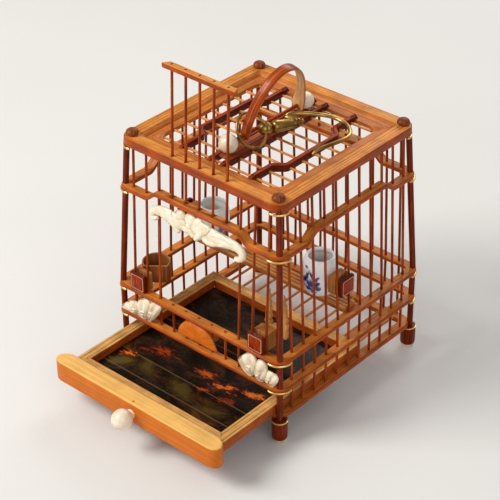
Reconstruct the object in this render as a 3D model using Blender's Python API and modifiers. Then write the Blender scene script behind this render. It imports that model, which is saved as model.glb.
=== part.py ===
# Bamboo insect cage: posts, bent rails, split-bamboo grilles, a lifting door, a pull-out tray,
# a carrying handle with ring and swivel hook, and the small holders and cups inside.
# Metres, +Z up; the door is at -Y. Sizes are set out from the ground under the middle of the cage,
# and cage_middle then moves that point so that the origin is under the middle of the whole part.

import math

import bmesh
import bpy
from mathutils import Vector

# Walls: upright to the lower rail, then leaning in evenly
wall_half = 0.050
wall_lean_share = 0.042
lean_start = 0.047
bar_diameter = 0.0013
bays_a_side = 12
bar_pitch = 2 * wall_half / bays_a_side
bar_count = bays_a_side - 1
door_bars = 5
clearance = 0.0003
overrun = 0.002

# Levels of the rails
foot_height = 0.0122
base_gap = 0.0004
base_thickness = 0.0026
base_low = foot_height + base_gap
base_high = base_low + base_thickness
strip_low, strip_high = 0.0294, 0.0314
lower_low, lower_high = 0.045, lean_start
shoulder_height = 0.0022
shoulder_low = 0.0994
shoulder_rise = 0.0044
frame_low, frame_high = 0.1223, 0.1272

# Bent rails
rail_lip = 0.0033
rail_width = 0.0052
rail_corner = 0.0074
rail_edge = 0.0006
corner_steps = 5
base_lip = 0.0016
base_half = wall_half + base_lip
rise_start_share, rise_end_share = 0.64, 0.49
rise_steps = 4

# Posts and feet
post_diameter = 0.003
post_lean_share = 0.0486
tenon_inset = 0.0007
tenon_diameter = 0.0016
head_diameter = 0.0062
head_height = 0.0029
head_inset = 0.0013
foot_inset = 0.0005
foot_offset = wall_half - foot_inset
foot_diameter = 0.0076
foot_tip_height = 0.0018
foot_tip_diameter = 0.0064
foot_top_diameter = 0.0068
foot_round = 0.0006

# Top frame
frame_overhang = 0.00227
frame_half = wall_half - wall_lean_share * (frame_high - lean_start) + frame_overhang
frame_corner = 0.006
opening_corner = 0.006
slope_corner = 0.001
frame_round = 0.001
frame_flat_width = 0.006
frame_slope_width = 0.0019
frame_slope_drop = 0.0015
frame_width = 0.0129
opening_half = frame_half - frame_width
ledge_drop = 0.0019
ledge_thickness = 0.002
frame_seat_width = 0.0035

# Roof
stick_diameter = 0.0012
stick_level = 0.1243
stick_count = 9
stick_edge = 0.0027
stick_pitch = 2 * (opening_half - stick_edge) / (stick_count - 1)
batten_thickness = 0.0024
batten_low = 0.1228
batten_high = 0.1266
batten_end_share, batten_bow_share = 0.586, 0.144
batten_bend_shares = (0.64, 0.47)
batten_bend_steps = 4
keeper_share = 0.108
spine_height = 0.0016
spine_half_share = 0.875
spine_bevel = 0.0004

# Handle, axle and beads
axle_diameter = 0.0018
handle_front, handle_back = -0.017, 0.022
handle_height = 0.0305
handle_width = 0.0045
handle_thickness = 0.0015
handle_foot_diameter = 0.0047
handle_lean = math.radians(15)
handle_steps = 20
front_bead_place, front_bead_diameter = -0.0275, 0.0092
back_bead_place, back_bead_diameter = 0.0266, 0.0085
bead_rise = 0.0003
axle_rise = 0.00405
axle_tail = 0.0008

# Ring, swivel and hook
ring_centre = Vector((0.0029, -0.0150, 0.1341))
ring_radius = 0.0083
ring_wire = 0.0012
ring_tilt = math.radians(55)
ball_turn = math.radians(-17)
ball_diameter = 0.0062
ball_length = 0.0069
barrel_end = Vector((0.0101, 0.0079, 0.1308))
barrel_neck_diameter = 0.0046
barrel_belly_diameter = 0.0060
barrel_lip_diameter = 0.0052
barrel_bore = 0.0027
barrel_lip_share, barrel_neck_share = 0.93, 0.84
barrel_belly_shares = (0.30, 0.10)
shank_depth = 0.0035
hook_wire = 0.0018
hook_route = (
    (0.0119, 0.0100, 0.1310), (0.0098, 0.0112, 0.1312), (0.0068, 0.0098, 0.1312),
    (0.0038, 0.0086, 0.1312), (0.0026, 0.0103, 0.1312), (0.0034, 0.0132, 0.1310),
    (0.0058, 0.0168, 0.1306), (0.0095, 0.0206, 0.1300), (0.0146, 0.0246, 0.1292),
    (0.0188, 0.0261, 0.1286), (0.0228, 0.0262, 0.1283), (0.0268, 0.0248, 0.1283),
    (0.0308, 0.0218, 0.1283), (0.0333, 0.0180, 0.1283), (0.0337, 0.0136, 0.1283),
    (0.0328, 0.0088, 0.1283), (0.0316, 0.0040, 0.1283), (0.0304, -0.0006, 0.1283),
    (0.0299, -0.0028, 0.1274), (0.0297, -0.0036, 0.1262),
)

# Door
door_travel = 0.0425
cap_end = 0.00483
cap_depth = 0.0035
cap_height = 0.0026
cap_bevel = 0.0008
cap_gap = 0.0003
carving_level = 0.0962
carving_thickness = 0.003
carving_end = 0.0035
carving_up, carving_down = 0.0052, 0.0062
door_bar_share = 0.30

# Drawer
tray_gap = 0.0018
tray_half = wall_half - tray_gap
tray_out = 0.0377
tray_front = -wall_half - tray_out
tray_back = tray_front + 2 * wall_half - clearance
tray_low, tray_high = base_high + clearance, 0.0208
tray_wall = 0.0062
tray_bevel = 0.0006
sheet_thickness = 0.0013
panel_back = tray_front - clearance
panel_thickness = 0.009
panel_low, panel_high = 0.013, 0.0245
panel_swell = 0.0025
panel_back_half, panel_half = wall_half - panel_swell, wall_half + panel_swell
panel_bevel = 0.0008
pin_hole_diameter = 0.0012
pin_hole_depth = 0.005
pin_hole_inset = 0.002
knob_diameter = 0.0102
knob_neck = 0.0036
knob_level = 0.0186
knob_reach = 0.0056

# Perch and holders
perch_front, perch_back = -0.0029, 0.0063
perch_thickness = 0.0024
perch_end_gap = 0.0004
groove_width = 0.0008
groove_depth = 0.0005
perch_grooves = 3
plaque_size = 0.0092
plaque_thickness = 0.0016
plaque_bevel = 0.0006
block_width = 0.0086
block_height = 0.0092
front_holder_share = 0.75
front_holder_place = wall_half * front_holder_share
side_holder_place = -bar_pitch / 2
side_holder_level = 0.0648
scoop_block_depth = 0.0022
fork_block_depth = 0.0058

# Cups
right_cup_inset, right_cup_diameter = 0.0145, 0.0163
left_cup_inset, left_cup_diameter = 0.0170, 0.0156
left_cup_place = -0.0030
right_cup_centre = (wall_half - right_cup_inset, side_holder_place)
left_cup_centre = (left_cup_inset - wall_half, left_cup_place)
cup_low, cup_high = 0.056, 0.0752
cup_wall = 0.0011
cup_mouth_share, cup_foot_share = 0.74, 0.80
cup_inside_shares = (0.30, 0.80)
cup_outside_shares = ((0.96, 0.90), (1.0, 0.78), (0.99, 0.35), (0.93, 0.12))
scoop_inset = 0.0105
scoop_centre = (-front_holder_place, scoop_inset - wall_half)
scoop_radius = 0.007
scoop_wall = 0.0009
scoop_height = 0.0102
scoop_floor = 0.0011
scoop_chord = 0.0042
scoop_facing = math.radians(-50)

# Fork
fork_low, fork_base_high, fork_high = 0.0525, 0.0572, 0.0762
fork_inner, fork_outer = 0.0030, 0.0095
fork_left, fork_right = front_holder_place - fork_inner, front_holder_place + fork_outer
fork_thickness = 0.0026
prong_width = 0.0028
prong_tip = 0.0005
fork_wear = 0.0007

# Half-moon and corner carvings
moon_half = 0.0125
moon_low, moon_high = 0.0338, 0.0417
moon_flat = 0.0078
moon_thickness = 0.0015
moon_block_radius = 0.0062
moon_block_depth = 0.006
corner_carving_out, corner_carving_in = wall_half, wall_half / 2
corner_carving_thickness = 0.0014
corner_carving_height = 0.0118

# Colours of the materials
lacquered_bamboo = ("lacquered_bamboo", (0.55, 0.20, 0.05, 1), 0.35, 0)
golden_bamboo = ("golden_bamboo", (0.72, 0.40, 0.14, 1), 0.45, 0)
dark_bamboo = ("dark_bamboo", (0.28, 0.07, 0.02, 1), 0.35, 0)
pale_bamboo = ("pale_bamboo", (0.62, 0.38, 0.20, 1), 0.6, 0)
bone = ("bone", (0.86, 0.78, 0.62, 1), 0.35, 0)
brass = ("brass", (0.72, 0.55, 0.25, 1), 0.25, 1)
porcelain = ("porcelain", (0.85, 0.87, 0.88, 1), 0.12, 0)
tortoiseshell = ("tortoiseshell", (0.06, 0.03, 0.02, 1), 0.15, 0)
mahogany = ("mahogany", (0.30, 0.06, 0.03, 1), 0.3, 0)


def wall_at(z):
    """Distance of a wall's middle plane from the centre at height z."""
    return wall_half - wall_lean_share * max(0, z - lean_start)


for old in list(bpy.data.objects):
    bpy.data.objects.remove(old, do_unlink=True)
parts = bpy.data.collections.new("bamboo_insect_cage")
cutters = bpy.data.collections.new("cutters")
bpy.context.scene.collection.children.link(parts)
bpy.context.scene.collection.children.link(cutters)
foremost = panel_back - panel_thickness - clearance - knob_reach - knob_diameter / 2
rearmost = wall_half + rail_lip
cage_middle = bpy.data.objects.new("cage_middle", None)
cage_middle.location = (0, -(foremost + rearmost) / 2, 0)
cutters.objects.link(cage_middle)


def get_material(name, colour, roughness, metallic):
    found = bpy.data.materials.get(name)
    if found:
        return found
    material = bpy.data.materials.new(name)
    material.use_nodes = True
    shader = material.node_tree.nodes["Principled BSDF"]
    shader.inputs["Base Color"].default_value = colour
    shader.inputs["Roughness"].default_value = roughness
    shader.inputs["Metallic"].default_value = metallic
    return material


def add_object(name, mesh, finish=None, location=(0, 0, 0), rotation=(0, 0, 0)):
    """Put a mesh in the parts collection, or with no finish in the cutters."""
    thing = bpy.data.objects.new(name, mesh)
    thing.parent = cage_middle
    thing.location = location
    thing.rotation_euler = rotation
    if finish:
        parts.objects.link(thing)
        mesh.materials.clear()
        mesh.materials.append(get_material(*finish))
    else:
        cutters.objects.link(thing)
        thing.hide_render = True
        thing.display_type = "WIRE"
    return thing


def mesh_from(builder):
    """A closed mesh from a function that fills a bmesh."""
    work = bmesh.new()
    builder(work)
    bmesh.ops.recalc_face_normals(work, faces=work.faces)
    mesh = bpy.data.meshes.new("shape")
    work.to_mesh(mesh)
    work.free()
    return mesh


def add_box(name, low, high, finish=None, bevel=0):
    low, high = Vector(low), Vector(high)

    def build(work):
        bmesh.ops.create_cube(work, size=1)
        bmesh.ops.scale(work, vec=high - low, verts=work.verts)

    box = add_object(name, mesh_from(build), finish, (low + high) / 2)
    if bevel:
        add_bevel(box, bevel)
    return box


def add_bevel(thing, width, segments=1):
    bevel = thing.modifiers.new("Rounded edges", "BEVEL")
    bevel.width = width
    bevel.segments = segments
    bevel.limit_method = "ANGLE"


def add_boolean(thing, tool, operation="DIFFERENCE"):
    boolean = thing.modifiers.new(operation.title(), "BOOLEAN")
    boolean.operation = operation
    boolean.object = tool
    return boolean


def apply_modifiers(thing):
    """Swap an object's mesh for its evaluated one and drop its modifiers."""
    graph = bpy.context.evaluated_depsgraph_get()
    mesh = bpy.data.meshes.new_from_object(thing.evaluated_get(graph))
    thing.modifiers.clear()
    thing.data = mesh
    return thing


def weld(mesh):
    """Close a curve's loose caps."""
    work = bmesh.new()
    work.from_mesh(mesh)
    bmesh.ops.remove_doubles(work, verts=work.verts, dist=clearance / 100)
    bmesh.ops.recalc_face_normals(work, faces=work.faces)
    work.to_mesh(mesh)
    work.free()


def curve_to_object(name, curve, finish, location=(0, 0, 0), rotation=(0, 0, 0)):
    guide = bpy.data.objects.new("guide", curve)
    cutters.objects.link(guide)
    graph = bpy.context.evaluated_depsgraph_get()
    mesh = bpy.data.meshes.new_from_object(guide.evaluated_get(graph))
    bpy.data.objects.remove(guide)
    weld(mesh)
    return add_object(name, mesh, finish, location, rotation)


def add_wires(name, runs, diameter, finish=None, resolution=2):
    """Round wires along lists of points."""
    curve = bpy.data.curves.new("wire", "CURVE")
    curve.dimensions = "3D"
    curve.bevel_depth = diameter / 2
    curve.bevel_resolution = resolution
    curve.use_fill_caps = True
    for run in runs:
        spline = curve.splines.new("POLY")
        spline.points.add(len(run) - 1)
        for point, place in zip(spline.points, run):
            point.co = (*place, 1)
    return curve_to_object(name, curve, finish)


def add_plate(name, outlines, thickness, finish=None, location=(0, 0, 0), rotation=(0, 0, 0)):
    """A flat plate from closed outlines in its own XY plane, half its thickness each way."""
    curve = bpy.data.curves.new("plate", "CURVE")
    curve.dimensions = "2D"
    curve.fill_mode = "BOTH"
    curve.extrude = thickness / 2
    for outline in outlines:
        spline = curve.splines.new("POLY")
        spline.use_cyclic_u = True
        spline.points.add(len(outline) - 1)
        for point, place in zip(spline.points, outline):
            point.co = (*place, 0, 1)
    return curve_to_object(name, curve, finish, location, rotation)


facing_front = (math.radians(90), 0, 0)
facing_side = (math.radians(90), 0, math.radians(90))
leaning_front = (math.radians(90) - math.atan(wall_lean_share), 0, 0)


def add_turned(name, profile, finish, location, rotation=(0, 0, 0), sides=20):
    """A turned piece: (radius, height) pairs from the top down, spun about its own Z."""
    mesh = bpy.data.meshes.new("profile")
    edges = [(i, i + 1) for i in range(len(profile) - 1)]
    mesh.from_pydata([(radius, 0, height) for radius, height in profile], edges, [])
    thing = add_object(name, mesh, finish, location, rotation)
    screw = thing.modifiers.new("Turned", "SCREW")
    screw.steps = sides
    screw.render_steps = sides
    screw.use_merge_vertices = True
    screw.merge_threshold = clearance / 10
    apply_modifiers(thing)
    weld(thing.data)
    return thing


def smooth(thing):
    thing.data.shade_smooth()
    thing.data.set_sharp_from_angle(angle=math.radians(40))


def rounded_square(half, radius, extra=()):
    """Points of a square with round corners, with more points along each side at the places in extra."""
    centre = half - radius
    points = []
    for side in range(4):
        turn = side * math.pi / 2
        row = [(-place, half) for place in extra] + [(place, half) for place in reversed(extra)]
        for step in range(corner_steps + 1):
            angle = math.pi / 2 - step * math.pi / 2 / corner_steps
            row.append((centre + radius * math.cos(angle), centre + radius * math.sin(angle)))
        for x, y in row:
            points.append((x * math.cos(turn) + y * math.sin(turn), y * math.cos(turn) - x * math.sin(turn)))
    return points


def add_hoop(name, half, section, corner, finish=None, extra=(), rise=None, radii=None):
    """A square hoop with round corners: section holds (distance inside half, height) pairs."""
    radii = radii or [max(corner - inset, corner / corner_steps) for inset, height in section]
    rings = [rounded_square(half - inset, radius, extra) for radius, (inset, height) in zip(radii, section)]
    count = len(rings[0])

    def build(work):
        loops = []
        for index in range(count):
            loop = []
            for ring, (inset, height) in zip(rings, section):
                x, y = ring[index]
                lift = rise(rings[0][index]) if rise else 0
                loop.append(work.verts.new((x, y, height + lift)))
            loops.append(loop)
        for index in range(count):
            here, there = loops[index], loops[(index + 1) % count]
            for k in range(len(section)):
                after = (k + 1) % len(section)
                work.faces.new((here[k], there[k], there[after], here[after]))

    return add_object(name, mesh_from(build), finish)


def rail_section(low, high, width):
    """A flat strip with its outer edge rounded off."""
    return [(rail_edge, high), (0, high - rail_edge), (0, low + rail_edge), (rail_edge, low),
            (width, low), (width, high)]


def bar_run(k, side, low, high, off=0):
    """One bar's points: k counts from the middle of a side; side 0 is the front, then anticlockwise."""
    levels = [low] + ([lean_start] if low < lean_start < high else []) + [high]
    turn = side * math.pi / 2
    run = []
    for z in levels:
        x, y = k * bar_pitch, -wall_at(z)
        run.append((x * math.cos(turn) - y * math.sin(turn), x * math.sin(turn) + y * math.cos(turn), z))
    return run


def all_bars():
    half = bar_count // 2
    return range(-half, half + 1)


bar_top = frame_low - clearance
door_half = door_bars // 2
wire_sides = 6
bar_start = base_high + clearance
cap_half_length = door_half * bar_pitch + cap_end
carving_half = (door_half + 1) * bar_pitch + carving_end
hole_diameter = (bar_diameter + 2 * clearance) / math.cos(math.pi / wire_sides)


# The clearance holes that the bars and posts need in every rail
through_runs = [bar_run(k, side, bar_start - overrun, frame_high + overrun)
                for side in range(4) for k in all_bars()]
bar_holes = add_wires("bar_holes", through_runs, hole_diameter, None, 1)


def post_at(z):
    return wall_half - post_lean_share * max(0, z - lean_start)


def post_run(sx, sy, low, high):
    levels = [low] + ([lean_start] if low < lean_start < high else []) + [high]
    return [(sx * post_at(z), sy * post_at(z), z) for z in levels]


corners = {"front_left": (-1, -1), "front_right": (1, -1), "back_right": (1, 1), "back_left": (-1, 1)}
post_gap = (post_diameter + 2 * clearance) / math.cos(math.pi / 8)
tenon_gap = (tenon_diameter + 2 * clearance) / math.cos(math.pi / 8)
post_low = foot_height + clearance
post_holes = add_wires("post_holes", [post_run(sx, sy, foot_height, frame_low - clearance / 2)
                                      for sx, sy in corners.values()], post_gap)
tenon_place = post_at(frame_low) - tenon_inset
head_place = tenon_place - head_inset


def tenon_run(sx, sy, low, high):
    return [(sx * tenon_place, sy * tenon_place, low), (sx * tenon_place, sy * tenon_place, high)]


tenon_holes = add_wires("tenon_holes", [tenon_run(sx, sy, frame_low - overrun, frame_high + overrun)
                                        for sx, sy in corners.values()], tenon_gap)


def add_posts_and_feet():
    for corner, (sx, sy) in corners.items():
        post = add_wires("post_" + corner, [post_run(sx, sy, post_low, bar_top)], post_diameter,
                         dark_bamboo)
        tenon = add_wires("tenon_" + corner,
                          [tenon_run(sx, sy, bar_top - overrun, frame_high + head_height / 2)],
                          tenon_diameter)
        seat = frame_high + clearance
        arc = [math.pi / 2 * step / 4 for step in range(5)]
        profile = [(head_diameter / 2 * math.sin(angle), head_height * math.cos(angle)) for angle in arc]
        head = add_turned("head_" + corner, profile + [(0, 0)], dark_bamboo,
                          (sx * head_place, sy * head_place, seat), sides=16)
        parts.objects.unlink(head)
        cutters.objects.link(head)
        head.hide_render = True
        head.display_type = "WIRE"
        add_boolean(post, tenon, "UNION")
        add_boolean(post, head, "UNION")
        smooth(post)
        foot = [(0, foot_height), (foot_top_diameter / 2, foot_height),
                (foot_diameter / 2, foot_height - foot_round),
                (foot_diameter / 2, foot_tip_height + foot_round),
                (foot_diameter / 2 - foot_round / 2, foot_tip_height),
                (foot_tip_diameter / 2, 0), (0, 0)]
        turned = add_turned("foot_" + corner, foot, dark_bamboo,
                            (sx * foot_offset, sy * foot_offset, 0), sides=16)
        smooth(turned)


def shoulder_lift(point):
    """How far the shoulder rail stands above its corners: it steps up on each side's middle."""
    along = min(abs(point[0]), abs(point[1])) / wall_half
    share = (rise_start_share - along) / (rise_start_share - rise_end_share)
    share = min(1, max(0, share))
    return shoulder_rise * share * share * (3 - 2 * share)


def add_rails():
    lower = add_hoop("lower_rail", wall_half + rail_lip, rail_section(lower_low, lower_high, rail_width),
                     rail_corner, golden_bamboo)
    step = (rise_start_share - rise_end_share) / rise_steps
    extra = [wall_half * (rise_start_share - step * index) for index in range(rise_steps + 1)]
    half = wall_at(shoulder_low + shoulder_rise) + rail_lip
    section = rail_section(shoulder_low, shoulder_low + shoulder_height, rail_width)
    shoulder = add_hoop("shoulder_rail", half, section, rail_corner, golden_bamboo, extra, shoulder_lift)
    for rail in (lower, shoulder):
        add_boolean(rail, bar_holes)
        add_boolean(rail, post_holes)


def wedge(name, side, gap, left=None, right=None):
    """A cutter that keeps one side of a hoop, up to the mitres, or between two places along it."""
    reach = 2 * wall_half
    near = gap / 2
    if left is None:
        outline = [(0, -near * math.sqrt(2)), (reach, -reach - near * math.sqrt(2)),
                   (-reach, -reach - near * math.sqrt(2))]
    else:
        outline = [(left, 0), (left, -reach), (right, -reach), (right, 0)]
    turn = side * math.pi / 2
    return add_plate(name, [outline], 2 * reach, None, (0, 0, frame_high / 2), (0, 0, turn))


split_place = (2 * door_half + 1) * bar_pitch / 2
split_gap = clearance / 2
sides = {"front": 0, "right": 1, "back": 2, "left": 3}
wedges = {name: wedge("keep_" + name, side, clearance) for name, side in sides.items()}


def add_grille(name, side, ks, low, high, keep):
    """Bars fused into their piece of the bottom strip, as a comb."""
    comb = add_hoop(name, wall_half + rail_lip, rail_section(strip_low, strip_high, rail_width),
                    rail_corner, dark_bamboo)
    bars = add_wires(name + "_bars", [bar_run(k, side, low, high) for k in ks], bar_diameter, None, 1)
    for tool in keep:
        add_boolean(comb, tool, "INTERSECT")
    add_boolean(comb, post_holes)
    add_boolean(comb, bars, "UNION")
    smooth(comb)


def add_grilles():
    for name in ("right", "back", "left"):
        add_grille(name + "_grille", sides[name], all_bars(), bar_start, bar_top, [wedges[name]])
    reach = 2 * wall_half
    low_keep = wedge("keep_low", 0, 0, -split_place + split_gap, split_place - split_gap)
    left_keep = wedge("keep_front_left", 0, 0, -reach, -split_place - split_gap)
    right_keep = wedge("keep_front_right", 0, 0, split_place + split_gap, reach)
    outer = [k for k in all_bars() if k > door_half]
    strip_middle = (strip_low + strip_high) / 2
    add_grille("front_grille_left", 0, [-k for k in outer], strip_middle, bar_top,
               [wedges["front"], left_keep])
    add_grille("front_grille_right", 0, outer, strip_middle, bar_top, [wedges["front"], right_keep])
    add_grille("front_grille_low", 0, range(-door_half, door_half + 1), strip_middle, lower_high,
               [low_keep])


def add_base():
    base = add_hoop("base_grille", base_half, rail_section(base_low, base_high, rail_width), rail_corner,
                    golden_bamboo)
    reach = base_half - rail_width / 2
    level = base_high - bar_diameter / 2
    floor = add_wires("floor_bars", [[(k * bar_pitch, -reach, level), (k * bar_pitch, reach, level)]
                                     for k in all_bars()], bar_diameter, None, 1)
    add_boolean(base, post_holes)
    add_boolean(base, floor, "UNION")


def add_top_frame():
    top, low = frame_high, frame_low
    inner = frame_half - opening_half
    slope_in = frame_flat_width + frame_round / 2
    slope_end = slope_in + frame_slope_width
    section = [(frame_round / 2, top), (0, top - frame_round / 2), (0, low + frame_round), (frame_round, low),
               (frame_seat_width, low), (inner, top - ledge_drop - ledge_thickness),
               (inner, top - ledge_drop), (slope_end, top - frame_slope_drop), (slope_in, top)]
    radii = [frame_corner - frame_round / 2, frame_corner, frame_corner, frame_corner - frame_round,
             frame_corner - frame_seat_width, opening_corner, opening_corner, slope_corner, slope_corner]
    for name in sides:
        member = add_hoop("top_frame_" + name, frame_half, section, frame_corner, lacquered_bamboo,
                          radii=radii)
        add_boolean(member, wedges[name], "INTERSECT")
        add_boolean(member, tenon_holes)
        if name == "front":
            add_boolean(member, door_bar_holes)


def door_run(k, low, high):
    return [(k * bar_pitch, -wall_at(low), low), (k * bar_pitch, -wall_at(high), high)]


cap_low = frame_high + cap_gap + door_travel
door_bar_holes = add_wires("door_bar_holes", [door_run(k, lean_start, cap_low)
                                              for k in range(-door_half, door_half + 1)],
                           hole_diameter, None, 1)


def batten_middle(y):
    """How far a bowed batten's middle line is from the roof's middle at y."""
    start, finish = (opening_half * share for share in batten_bend_shares)
    share = min(1, max(0, (start - abs(y)) / (start - finish)))
    return opening_half * (batten_end_share + batten_bow_share * share * share * (3 - 2 * share))


def batten_outline(sign, reach):
    """A batten's outline from above: both sides run parallel to its middle line."""
    start, finish = (opening_half * share for share in batten_bend_shares)
    bend = [finish + (start - finish) * step / batten_bend_steps for step in range(batten_bend_steps + 1)]
    places = [-reach] + [-y for y in reversed(bend)] + bend + [reach]
    outer, inner = [], []
    for index, y in enumerate(places):
        before, after = places[max(0, index - 1)], places[min(len(places) - 1, index + 1)]
        slope = (batten_middle(after) - batten_middle(before)) / (after - before)
        length = math.sqrt(1 + slope * slope)
        for row, way in ((outer, 1), (inner, -1)):
            row.append((sign * (batten_middle(y) + way * batten_thickness / 2 / length),
                        y - way * slope * batten_thickness / 2 / length))
    return outer + inner[::-1]


def add_roof():
    reach = opening_half - clearance
    sticks = []
    half = stick_count // 2
    straight = opening_half - opening_corner
    for k in range(-half, half + 1):
        y = k * stick_pitch
        off = max(0, abs(y) + stick_diameter / 2 - straight)
        end = straight + math.sqrt(opening_corner ** 2 - off ** 2) - clearance
        sticks.append([(-end, y, stick_level), (end, y, stick_level)])
    lines = add_wires("roof_sticks", sticks, stick_diameter, None, 1)
    height = batten_high - batten_low
    middle = (batten_high + batten_low) / 2
    grille = add_plate("roof_grille", [batten_outline(-1, reach)], height, dark_bamboo, (0, 0, middle))
    right = add_plate("right_batten", [batten_outline(1, reach)], height, None, (0, 0, middle))
    add_boolean(grille, lines, "UNION")
    add_boolean(grille, right, "UNION")
    keeper_place = opening_half * keeper_share
    for name, sign in (("left_keeper", -1), ("right_keeper", 1)):
        xs = sorted((sign * (keeper_place - batten_thickness / 2), sign * (keeper_place + batten_thickness / 2)))
        keeper = add_box(name, (xs[0], -reach, batten_low), (xs[1], reach, batten_high))
        add_boolean(grille, keeper, "UNION")
    low = stick_level + stick_diameter / 2 + clearance
    side = keeper_place - batten_thickness / 2 - clearance
    length = opening_half * spine_half_share
    add_box("roof_spine", (-side, -length, low), (side, length, low + spine_height), lacquered_bamboo,
            spine_bevel)
    return low + spine_height


def add_bead(name, place, diameter, seat, axle_level):
    """A bone bead threaded on the axle, flat where it rests on the spine."""
    middle = axle_level + bead_rise
    radius = diameter / 2
    steps = 9
    profile = [(radius * math.sin(math.pi * step / steps), radius * math.cos(math.pi * step / steps))
               for step in range(steps + 1)]
    bead = add_turned(name, profile, bone, (0, place, middle), facing_front, sides=18)
    under = add_box(name + "_seat", (-radius, place - radius, seat - diameter),
                    (radius, place + radius, seat))
    reach = radius + overrun
    bore = add_wires(name + "_bore", [[(0, place - reach, axle_level), (0, place + reach, axle_level)]],
                     axle_diameter + 2 * clearance)
    add_boolean(bead, under)
    add_boolean(bead, bore)
    smooth(bead)


def add_handle(spine_top):
    seat = spine_top + clearance
    axle_level = seat + axle_rise
    add_bead("bead_front", front_bead_place, front_bead_diameter, seat, axle_level)
    add_bead("bead_back", back_bead_place, back_bead_diameter, seat, axle_level)
    axle = add_wires("handle_axle", [[(0, front_bead_place - front_bead_diameter / 2 + axle_tail, axle_level),
                                      (0, back_bead_place + back_bead_diameter / 2 - axle_tail, axle_level)]],
                     axle_diameter, dark_bamboo)
    smooth(axle)
    middle = (handle_front + handle_back) / 2
    half = (handle_back - handle_front) / 2
    outline = []
    for step in range(handle_steps + 1):
        angle = math.pi * step / handle_steps
        outline.append((half * math.cos(angle) + middle, handle_height * math.sin(angle)))
    foot = handle_foot_diameter / 2 + overrun
    outline += [(handle_front, -foot), (handle_front + handle_thickness, -foot)]
    for step in range(handle_steps, -1, -1):
        angle = math.pi * step / handle_steps
        outline.append(((half - handle_thickness) * math.cos(angle) + middle,
                        (handle_height - handle_thickness) * math.sin(angle)))
    outline += [(handle_back - handle_thickness, -foot), (handle_back, -foot)]
    handle = add_plate("handle", [outline], handle_width, lacquered_bamboo, (0, 0, axle_level),
                       facing_side)
    round_feet = add_wires("handle_feet", [[(0, handle_front - overrun, 0), (0, handle_back + overrun, 0)]],
                           handle_foot_diameter, None, 3)
    round_feet.location = (0, 0, axle_level)
    upper = add_box("handle_upper", (-handle_width, handle_front - overrun, axle_level),
                    (handle_width, handle_back + overrun, axle_level + 2 * handle_height))
    add_boolean(round_feet, upper, "UNION")
    bore = add_wires("handle_bore", [[(0, handle_front - overrun, axle_level),
                                      (0, handle_back + overrun, axle_level)]],
                     (axle_diameter + 2 * clearance) / math.cos(math.pi / 8))
    add_boolean(handle, round_feet, "INTERSECT")
    add_boolean(handle, bore)
    apply_modifiers(handle)
    smooth(handle)
    return handle, axle_level


def build_handle_pivot(handle, axle_level):
    """Hang the handle on a pivot at its axle and lean it to the side it rests on."""
    pivot = bpy.data.objects.new("handle_pivot", None)
    pivot.location = (0, 0, axle_level)
    pivot.rotation_euler = (0, handle_lean, 0)
    cutters.objects.link(pivot)
    pivot.parent = cage_middle
    handle.parent = pivot
    handle.location = (0, 0, 0)
    handle.rotation_euler = facing_side


def ring_point(turn, radius=ring_radius):
    across = Vector((-math.cos(ring_tilt), 0, math.sin(ring_tilt)))
    along = Vector((0, 1, 0))
    return ring_centre + radius * (math.cos(turn) * along + math.sin(turn) * across)


def add_ring(name, wire, finish=None):
    """A closed ring standing on edge, tilted about Y."""
    curve = bpy.data.curves.new("ring", "CURVE")
    curve.dimensions = "3D"
    curve.bevel_depth = wire / 2
    curve.bevel_resolution = 2
    spline = curve.splines.new("POLY")
    spline.use_cyclic_u = True
    steps = 24
    spline.points.add(steps - 1)
    for index, point in enumerate(spline.points):
        point.co = (*ring_point(2 * math.pi * index / steps), 1)
    return curve_to_object(name, curve, finish)


def add_hook():
    ring = add_ring("ring", ring_wire, brass)
    smooth(ring)
    bore = add_ring("ring_bore", (ring_wire + 2 * clearance) / math.cos(math.pi / 8))
    centre = ring_point(ball_turn)
    axis = (barrel_end - centre).normalized()
    turn = Vector((0, 0, 1)).rotation_difference(axis).to_euler()
    radius, reach = ball_diameter / 2, ball_length / 2
    steps = 8
    profile = [(radius * math.sin(math.pi * step / steps), reach * math.cos(math.pi * step / steps))
               for step in range(steps + 1)]
    ball = add_turned("swivel_ball", profile, brass, centre, turn, sides=16)
    add_boolean(ball, bore)
    smooth(ball)
    start = reach + clearance
    length = (barrel_end - centre).length - start
    neck, belly, lip = barrel_neck_diameter / 2, barrel_belly_diameter / 2, barrel_lip_diameter / 2
    hollow = barrel_bore / 2
    profile = [(0, length - shank_depth), (hollow, length - shank_depth), (hollow, length),
               (lip, length), (lip, length * barrel_lip_share), (neck, length * barrel_neck_share)]
    profile += [(belly, length * share) for share in barrel_belly_shares]
    profile += [(neck, 0), (0, 0)]
    barrel = add_turned("barrel", profile, brass, centre + axis * start, turn, sides=16)
    smooth(barrel)
    inside = barrel_end - axis * (shank_depth - clearance)
    route = [inside, barrel_end + axis * hook_wire / 2] + [Vector(point) for point in hook_route]
    hook = add_wires("hook", [smooth_route(route)], hook_wire, brass)
    smooth(hook)


def smooth_route(points):
    """A curve through every point, with two more points in each span."""
    route = []
    last = len(points) - 1
    for index in range(last):
        before, here = points[max(0, index - 1)], points[index]
        there, after = points[index + 1], points[min(last, index + 2)]
        for share in (0, 0.5):
            a = 2 * here
            b = there - before
            c = 2 * before - 5 * here + 4 * there - after
            d = 3 * here - before - 3 * there + after
            route.append((a + b * share + c * share ** 2 + d * share ** 3) / 2)
    route.append(points[last])
    return route


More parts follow.
